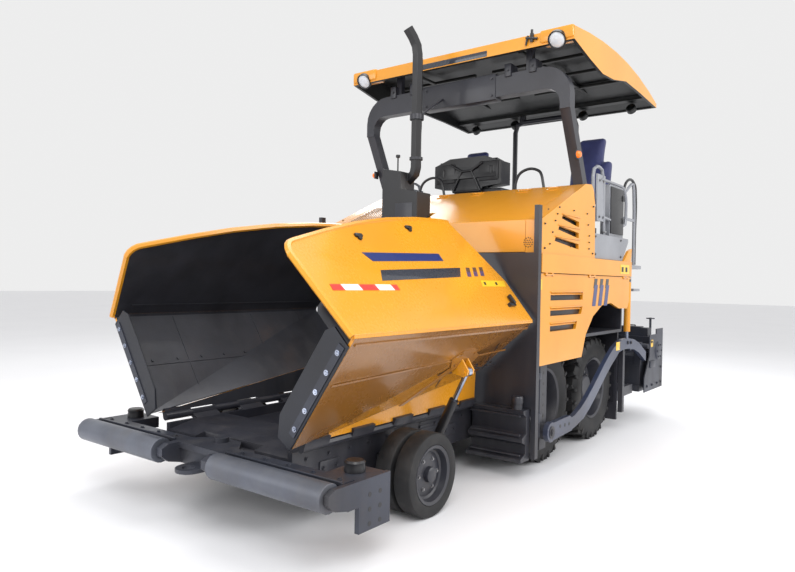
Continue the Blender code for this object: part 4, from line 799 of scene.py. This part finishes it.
def side_cover(bm):
    """Small dark screws round the cover over the slots, and at the panel's corners."""
    outline = [(-0.40, 1.90), (0.46, 1.90), (0.46, 2.02), (0.40, 2.22), (-0.22, 2.22),
               (-0.30, 2.10)]
    for k, (y, z) in enumerate(outline):
        bolt(bm, (PANEL_X, y, z), (1, 0, 0), 0.005)
        far = outline[(k + 1) % len(outline)]
        bolt(bm, (PANEL_X, (y + far[0]) / 2, (z + far[1]) / 2), (1, 0, 0), 0.005)
    for y, z in ((0.55, 1.86), (0.55, 2.30), (-0.50, 1.86), (-0.50, 2.06)):
        bolt(bm, (PANEL_X, y, z), (1, 0, 0), 0.006)


def slot_hoods(bm):
    """Pressed lips over the slots of the upper panel and black plates behind them as painted shade.
    """
    for k in range(3):
        z, y = 2.13 - 0.10 * k, -0.16 - 0.07 * k
        brick(bm, (1.196, y, z + 0.034), (1.212, 0.235, z + 0.043), 0.004)
    # black plates behind the slots: painted shade
    before = set(bm.faces)
    brick(bm, (1.150, -0.34, 1.86), (1.156, 0.25, 2.20), 0.002)
    paint_new(bm, 1, before)


def door_marks(bm):
    """Three slanting two-colour stripes on the flap door, and its blank tags."""
    for k in range(3):
        y = 0.60 + 0.155 * k
        sticker(bm, FACE, slanted(y, 1.535, 0.075, 0.09, 0.025), 0.0005, 0.002, 1)
        sticker(bm, FACE, slanted(y - 0.03, 1.365, 0.085, 0.20, 0.055), 0.001, 0.002, 0)
    sticker(bm, FACE, slanted(-0.555, 1.52, 0.022, 0.085, 0.0), 0.0005, 0.002, 2)


def band_marks(bm):
    sticker(bm, FACE, slanted(1.30, 1.685, 0.27, 0.095, 0.0), 0.0155, 0.002, 0)
    for k in range(2):
        sticker(bm, FACE, slanted(1.33 + 0.12 * k, 1.705, 0.06, 0.05, 0.0), 0.0178, 0.001, 1)


def door_louvres(bm):
    """Slanted blades in the door's openings, with rolled lips and a black sheet behind them as
    painted shade.
    """
    for k in range(3):
        z0 = 1.50 - 0.13 * k
        y1 = (0.335, 0.30, 0.18)[k]
        verts = brick(bm, (1.176, -0.355, z0 - 0.030), (1.1835, y1, z0 + 0.034), 0.002)
        bmesh.ops.rotate(bm, cent=(1.18, 0, z0), verts=[v for v in verts if v.is_valid],
                         matrix=Matrix.Rotation(math.radians(-38), 3, "Y"))
        brick(bm, (1.190, -0.362, z0 - 0.004), (1.209, y1 + 0.006, z0 + 0.007), 0.004)
    # black sheet behind the openings: painted shade
    before = set(bm.faces)
    brick(bm, (1.1702, -0.40, 1.16), (1.1735, 0.37, 1.54), 0.001)
    paint_new(bm, 1, before)


hand_made("cheek_holes", cheek_holes, "chassis", [BLACK])
hand_made("side_screws", side_cover, "chassis", [DARK])
hand_made("side_slot_lips", slot_hoods, "chassis", [YELLOW, BLACK])
hand_made("door_stripes", door_marks, "door_{}", [STRIPE_BLUE, STRIPE_BLACK, LABEL])
hand_made("band_labels", band_marks, "chassis", [LABEL, BLACK])
hand_made("door_louvres", door_louvres, "door_{}", [YELLOW, BLACK])

# ---- Exhaust --------------------------------------------------------------------------------
STACK_X, STACK_Y = -0.175, -0.40      # the stack's axis
KNOB_X, KNOB_Y = -0.36, -0.44
bm = shell()
lathe(bm, ((0.062, 0.0), (0.067, 0.0), (0.067, 0.05), (0.062, 0.05), (0.062, 0.0)), (0, 0, 1),
      (STACK_X, STACK_Y, 3.10), 32)
lathe(bm, ((0.0575, 0.0), (0.064, 0.0), (0.064, 0.025), (0.0575, 0.025), (0.0575, 0.0)), (0, 0, 1),
      (STACK_X, STACK_Y, 2.72), 32)
bar(bm, (STACK_X, STACK_Y, 3.12), (STACK_X, 0.05, 3.40), 0.010)
brick(bm, (-0.30, -0.552, 1.90), (-0.10, -0.548, 2.30), 0.002)
piece("stack_clamps", bm, "chassis", [DARK])
bm = shell()
bar(bm, (KNOB_X, KNOB_Y, 2.60), (KNOB_X, KNOB_Y, 2.76), 0.007)
lathe(bm, ((0.0, 0.0), (0.020, 0.0), (0.022, 0.012), (0.020, 0.026), (0.0, 0.030)), (0, 0, 1),
      (KNOB_X, KNOB_Y, 2.755), 24)
piece("stack_knob", bm, "chassis", [BLACK])

# ---- Canopy, arches and lamps ---------------------------------------------------------------
def corner_housing(bm):
    """Raised corner housing with its round lamp, in the canopy's front edge."""
    brick(bm, (0.93, -0.108, 3.690), (1.248, 0.06, 3.805), 0.022)
    before = set(bm.faces)
    lathe(bm, ((0.0, 0.0), (0.058, 0.0), (0.070, 0.008), (0.075, 0.018), (0.081, 0.018),
               (0.081, -0.02), (0.0, -0.02)), (0, -1, -0.75), (1.095, -0.095, 3.696), 40)
    paint_new(bm, 1, before)
    before = set(bm.faces)
    lathe(bm, ((0.0, 0.018), (0.034, 0.016), (0.056, 0.010), (0.068, 0.003), (0.0, 0.0)),
          (0, -1, -0.75), (1.095, -0.099, 3.693), 40)
    paint_new(bm, 2, before)


def arch_lamps(bm):
    """Small amber side lamps on the arch posts, on black feet."""
    brick(bm, (1.155, 0.19, 2.70), (1.172, 0.25, 2.78), 0.004)
    before = set(bm.faces)
    lathe(bm, ((0.0, 0.034), (0.022, 0.032), (0.030, 0.022), (0.033, 0.0), (0.0, 0.0)), (1, 0, 0),
          (1.171, 0.22, 2.74), 28)
    paint_new(bm, 1, before)


def roof_fittings(bm):
    """Ribs and rear lamps under the roof, in the canopy's near-black painted shade."""
    for y in (0.55, 1.05, 1.55):
        brick(bm, (0.10, y - 0.02, 3.735), (1.20, y + 0.02, 3.765), 0.004)
    brick(bm, (0.60, 0.14, 3.735), (0.64, 2.0, 3.762), 0.004)
    for x in (0.45, 1.02):
        lathe(bm, ((0.0, 0.0), (0.045, 0.0), (0.055, 0.012), (0.055, 0.06), (0.0, 0.07)),
              (0, 1, -0.5), (x, 2.10, 3.60), 28)


hand_made("canopy_corner_lamp", corner_housing, "chassis", [YELLOW, BLACK, LENS])
hand_made("arch_side_lamp", arch_lamps, "chassis", [BLACK, AMBER])
hand_made("roof_ribs_and_lamps", roof_fittings, "chassis", [UNDERSIDE_PAINTED_SHADE])
bm = shell()
brick(bm, (-0.395, -0.0925, 3.683), (0.395, -0.0895, 3.736), 0.001)
piece("canopy_blank_plate", bm, "chassis", [PLATE])
bm = shell()
brick(bm, (0.84, -0.11, 3.72), (0.87, -0.085, 3.80), 0.004)
bar(bm, (0.855, -0.10, 3.76), (0.855, -0.10, 3.83), 0.012)
bar(bm, (0.80, -0.105, 3.765), (0.91, -0.105, 3.74), 0.011)
bar(bm, (0.80, -0.105, 3.70), (0.82, -0.105, 3.78), 0.009)
piece("canopy_front_clamp", bm, "chassis", [BLACK])
bm = shell()
brick(bm, (-0.42, 0.038, 3.31), (0.42, 0.164, 3.552), 0.006)
for x in (-0.80, -0.55, 0.55, 0.80):
    brick(bm, (x - 0.035, 0.03, 3.50), (x + 0.035, 0.17, 3.62), 0.006)
    bolt(bm, (x, 0.030, 3.56), (0, -1, 0), 0.012)
for x in (-0.38, 0.38):
    for z in (3.35, 3.51):
        bolt(bm, (x, 0.038, z), (0, -1, 0), 0.012)
piece("arch_sleeve", bm, "chassis", [DARK])

# ---- Platform -------------------------------------------------------------------------------
def gate_parts(bm):
    """Black locker doors, grab handle feet and hinges behind the silver rails."""
    brick(bm, (1.128, 1.22, 2.10), (1.136, 1.60, 2.58), 0.004)
    for z in (2.22, 2.46):
        brick(bm, (1.134, 1.56, z), (1.142, 1.60, z + 0.06), 0.004)
    before = set(bm.faces)
    for y, z in ((0.74, 2.10), (1.06, 2.10)):
        disc(bm, (1.12, y, z), (0, 0, 1), 0.028, 0.012, 20)
    for y, z in ((0.90, 2.24), (1.00, 2.24), (0.90, 2.60), (1.00, 2.60)):
        bolt(bm, (1.129, y, z), (1, 0, 0), 0.009)
    for y in (0.66, 1.38):
        for z in (1.86, 2.03):
            bolt(bm, (1.186, y, z), (1, 0, 0), 0.009)
    paint_new(bm, 1, before)


hand_made("gate_lockers", gate_parts, "chassis", [BLACK, BOLT])
side_tubes("dark_steel", ("rear_grab_rail", (
    (1.10, 1.66, 2.50), (1.10, 1.78, 2.70), (1.10, 2.06, 2.70), (1.10, 2.10, 2.60),
    (1.10, 2.10, 2.10), (1.10, 2.10, 1.80)), 0.015, BLACK), ("inner_grab_rail", (
        (0.72, 0.44, 2.06), (0.72, 0.46, 2.60), (0.66, 0.48, 2.68), (0.50, 0.48, 2.68),
        (0.44, 0.47, 2.60), (0.44, 0.45, 2.06)), 0.014, BLACK))

# ---- Seats ----------------------------------------------------------------------------------
SEAT_X = 0.74            # middle of a seat
VOXEL = 0.014            # remesh of the padding before it is filled
PUFF = 0.018             # most that the padding may swell
PRESSURE, QUALITY, CLOTH_STEPS = 4, 5, 14


def stuffed(bm, name):
    """Closes a rough cushion shape, lets cloth simulation fill it, and smooths it."""
    mesh = bpy.data.meshes.new(name)
    bm.to_mesh(mesh)
    bm.free()
    made = bpy.data.objects.new(name, mesh)
    bpy.context.scene.collection.objects.link(made)
    voxel = made.modifiers.new("voxels", "REMESH")
    voxel.mode, voxel.voxel_size = "VOXEL", VOXEL
    freeze(made)
    rest = [v.co.copy() for v in made.data.vertices]
    cloth = made.modifiers.new("cloth", "CLOTH")
    cloth.settings.use_pressure = True
    cloth.settings.uniform_pressure_force = PRESSURE
    cloth.settings.effector_weights.gravity = 0
    cloth.settings.quality = QUALITY
    for step in range(1, CLOTH_STEPS + 1):
        bpy.context.scene.frame_set(step)
    freeze(made)
    bpy.context.scene.frame_set(1)
    for v, home in zip(made.data.vertices, rest):
        moved = v.co - home
        if moved.length > PUFF:
            v.co = home + moved.normalized() * PUFF
    smooth = made.modifiers.new("smooth", "SUBSURF")
    smooth.levels = smooth.render_levels = 1
    freeze(made)
    made.data.materials.clear()
    made.data.materials.append(SEAT)
    made.data.shade_smooth()
    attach(made, "chassis")
    return made


def freeze(made):
    bpy.context.view_layer.update()
    view = made.evaluated_get(bpy.context.evaluated_depsgraph_get())
    mesh = bpy.data.meshes.new_from_object(view)
    made.modifiers.clear()
    made.data = mesh


def back_cover(bm, x):
    """Backrest and headrest under one loose cover."""
    low = Matrix.Translation((x, 1.645, 2.69)) @ Matrix.Rotation(math.radians(-11), 4, "X")
    brick(bm, (-0.248, -0.05, -0.26), (0.248, 0.05, 0.24), 0.045, low)
    high = Matrix.Translation((x, 1.70, 3.05)) @ Matrix.Rotation(math.radians(-7), 4, "X")
    brick(bm, (-0.150, -0.044, -0.20), (0.150, 0.044, 0.16), 0.04, high)


def seat_cushion(bm, x):
    brick(bm, (x - 0.215, 1.125, 2.275), (x + 0.215, 1.52, 2.385), 0.04)


def seat_frame(bm, x):
    brick(bm, (x - 0.10, 1.22, 2.175), (x + 0.10, 1.50, 2.265), 0.012)
    brick(bm, (x - 0.19, 1.16, 2.255), (x + 0.19, 1.54, 2.285), 0.010)
    for s in (1, -1):
        bar(bm, (x + s * 0.215, 1.60, 2.52), (x + s * 0.215, 1.34, 2.53), 0.022, 16)
        brick(bm, (x + s * 0.195, 1.50, 2.24), (x + s * 0.225, 1.66, 2.56), 0.008)


for side, sign in SIDES:
    x = SEAT_X * sign
    bm = shell()
    back_cover(bm, x)
    back = stuffed(bm, f"seat_back_{side}")
    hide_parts(f"seat_{side}")
    bm = shell()
    seat_cushion(bm, x)
    stuffed(bm, f"seat_cushion_{side}")
    bm = shell()
    seat_frame(bm, x)
    piece(f"seat_frame_{side}", bm, "chassis", [BLACK])

# ---- Control console ------------------------------------------------------------------------
CONSOLE_X, GUARD_Y = -0.28, 0.69      # middle and front face of the console
bm = shell()
for s in (1, -1):
    pad, grip = CONSOLE_X + s * 0.27, CONSOLE_X + s * 0.30
    brick(bm, (pad - 0.12, GUARD_Y, 2.66), (pad + 0.12, 0.715, 2.87), 0.012)
    brick(bm, (grip - 0.02, 0.682, 2.72), (grip + 0.02, 0.70, 2.82), 0.008)
    for x, z in ((0.17, 2.56), (0.20, 2.86)):
        bar(bm, (CONSOLE_X + s * 0.06, GUARD_Y, 2.78), (CONSOLE_X + s * x, GUARD_Y, z), 0.013)
for x, z in ((0.06, 2.78), (0.17, 2.56)):
    bar(bm, (CONSOLE_X - x, GUARD_Y, z), (CONSOLE_X + x, GUARD_Y, z), 0.013)
brick(bm, (CONSOLE_X + 0.18, 0.72, 2.47), (CONSOLE_X + 0.42, 0.96, 2.58), 0.02)
piece("console_guard", bm, "console", [BLACK])
bm = shell()
tilt = Matrix.Translation((CONSOLE_X, 0.93, 2.80)) @ Matrix.Rotation(math.radians(60), 4, "X")
brick(bm, (-0.10, -0.06, 0.0), (0.10, 0.06, 0.012), 0.003, tilt)
piece("console_display", bm, "console", [SCREEN])
bm = shell()
for row in range(3):
    for col in range(10):
        x, y = 0.07 * col - 0.32, 0.04 * row
        if abs(x) > 0.12:
            brick(bm, (x - 0.014, y - 0.055, 0.0), (x + 0.014, y - 0.03, 0.014), 0.003, tilt)
piece("console_keys", bm, "console", [GREY])

# ---- Tow arms, augers and screed ------------------------------------------------------------
TOW_Y, TOW_Z = -0.33, 0.33            # tow arm's pin
AUGER_Y, AUGER_Z = 1.90, 0.42
COVER_Y, COVER_Z = 2.62, 0.80         # round cover on the screed's end plate


def tow_marks(bm):
    """Holes, bolts and the blank label on the outside of the tow arm."""
    for y, z in ((-0.16, 0.355), (-0.06, 0.35), (0.03, 0.345)):
        disc(bm, (1.2230, y, z), (1, 0, 0), 0.016, 0.0015, 16)
    before = set(bm.faces)
    disc(bm, (1.2245, TOW_Y, TOW_Z), (1, 0, 0), 0.052, 0.006, 28)
    bolt(bm, (1.2270, TOW_Y, TOW_Z), (1, 0, 0), 0.02)
    for y, z in ((1.56, 0.96), (1.66, 0.955)):
        bolt(bm, (1.2228, y, z), (1, 0, 0), 0.014)
    paint_new(bm, 1, before)
    before = set(bm.faces)
    brick(bm, (1.2222, 1.20, 0.90), (1.2242, 1.31, 0.985), 0.0006)
    paint_new(bm, 2, before)


hand_made("tow_arm_fittings", tow_marks, "screed_unit", [BLACK, DARK, LABEL])


def guide_post(bm):
    """Drilled upright beside the tow arm's front end, with its clamp and cable rod."""
    for k in range(5):
        disc(bm, (1.1405, -0.33, 0.46 + 0.09 * k), (1, 0, 0), 0.014, 0.0015, 14)
    before = set(bm.faces)
    bar(bm, (1.158, -0.45, 0.30), (1.158, -0.45, 1.00), 0.009)
    brick(bm, (1.145, -0.48, 0.42), (1.171, -0.42, 0.50), 0.005)
    brick(bm, (1.145, -0.475, 0.78), (1.168, -0.425, 0.83), 0.005)
    paint_new(bm, 1, before)


hand_made("guide_post_fittings", guide_post, "chassis", [BLACK, GREY])


def flight(bm):
    """Screw blade wound round an auger's shaft."""
    turns, steps, pitch = 3, 28, 0.30
    rows = []
    for k in range(turns * steps + 1):
        turn = math.tau * k / steps
        x = 0.16 + pitch * k / steps
        rows.append([bm.verts.new((x, AUGER_Y + r * math.cos(turn), AUGER_Z + r * math.sin(turn)))
                     for r in (0.045, 0.162)])
    faces = [bm.faces.new((a[0], a[1], b[1], b[0])) for a, b in zip(rows, rows[1:])]
    bmesh.ops.recalc_face_normals(bm, faces=faces)
    bmesh.ops.solidify(bm, geom=faces, thickness=0.012)
    lathe(bm, ((0.0, 0.0), (0.048, 0.0), (0.048, 0.985), (0.0, 0.985)), (1, 0, 0),
          (0.113, AUGER_Y, AUGER_Z), 32)


hand_made("auger_flight", flight, "auger_screw_{}", [ROLLER])
for side, sign in SIDES:
    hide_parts(f"auger_{side}")


def screed_end(bm):
    """Round cover, bolts, screw jack and blank label on the screed's end plate."""
    lathe(bm, ((0.0, 0.018), (0.085, 0.018), (0.105, 0.012), (0.112, 0.0), (0.0, 0.0)), (1, 0, 0),
          (1.2345, COVER_Y, COVER_Z), 40)
    for k in range(6):
        turn = math.tau * k / 6
        bolt(bm, (1.2495, COVER_Y + 0.078 * math.cos(turn), COVER_Z + 0.078 * math.sin(turn)),
             (1, 0, 0), 0.008)
    for y, z in ((2.22, 0.42), (2.40, 0.42), (2.60, 0.42), (2.74, 0.42), (2.74, 0.60),
                 (2.36, 0.92)):
        bolt(bm, (1.2352, y, z), (1, 0, 0), 0.012)
    brick(bm, (1.2345, 2.30, 0.62), (1.246, 2.50, 0.70), 0.004)
    bar(bm, (1.10, 2.76, 0.98), (1.10, 2.76, 1.18), 0.014)
    disc(bm, (1.10, 2.76, 1.17), (0, 0, 1), 0.05, 0.012, 24)
    before = set(bm.faces)
    brick(bm, (1.2347, 2.34, 0.86), (1.2367, 2.42, 0.94), 0.0006)
    paint_new(bm, 1, before)


def screed_top(bm):
    """Lids, handles and the edge of the walkway behind the screed."""
    for k in range(3):
        x = 0.30 + 0.30 * k
        brick(bm, (x - 0.13, 2.60, 1.058), (x + 0.13, 2.73, 1.072), 0.004)
        bar(bm, (x - 0.05, 2.665, 1.085), (x + 0.05, 2.665, 1.085), 0.007)
        for dx in (-0.05, 0.05):
            bar(bm, (x + dx, 2.665, 1.068), (x + dx, 2.665, 1.088), 0.006)
    for k in range(14):
        x = 0.22 + 0.065 * k
        brick(bm, (x - 0.012, 2.86, 0.489), (x + 0.012, 3.08, 0.494), 0.002)
    for k in range(5):
        bolt(bm, (0.16 + 0.2 * k, 2.801, 0.70), (0, 1, 0), 0.012)
        bolt(bm, (0.16 + 0.2 * k, 2.801, 0.42), (0, 1, 0), 0.012)


hand_made("screed_end_fittings", screed_end, "extension_{}", [GREY, LABEL])
hand_made("screed_top_fittings", screed_top, "extension_{}", [DARK])
side_tubes("rubber", ("screed_hose", (
    (0.90, 1.64, 1.20), (0.92, 1.78, 1.12), (0.95, 1.86, 0.98), (0.92, 1.80, 0.84),
    (0.90, 1.66, 0.90)), 0.014, HOSE))
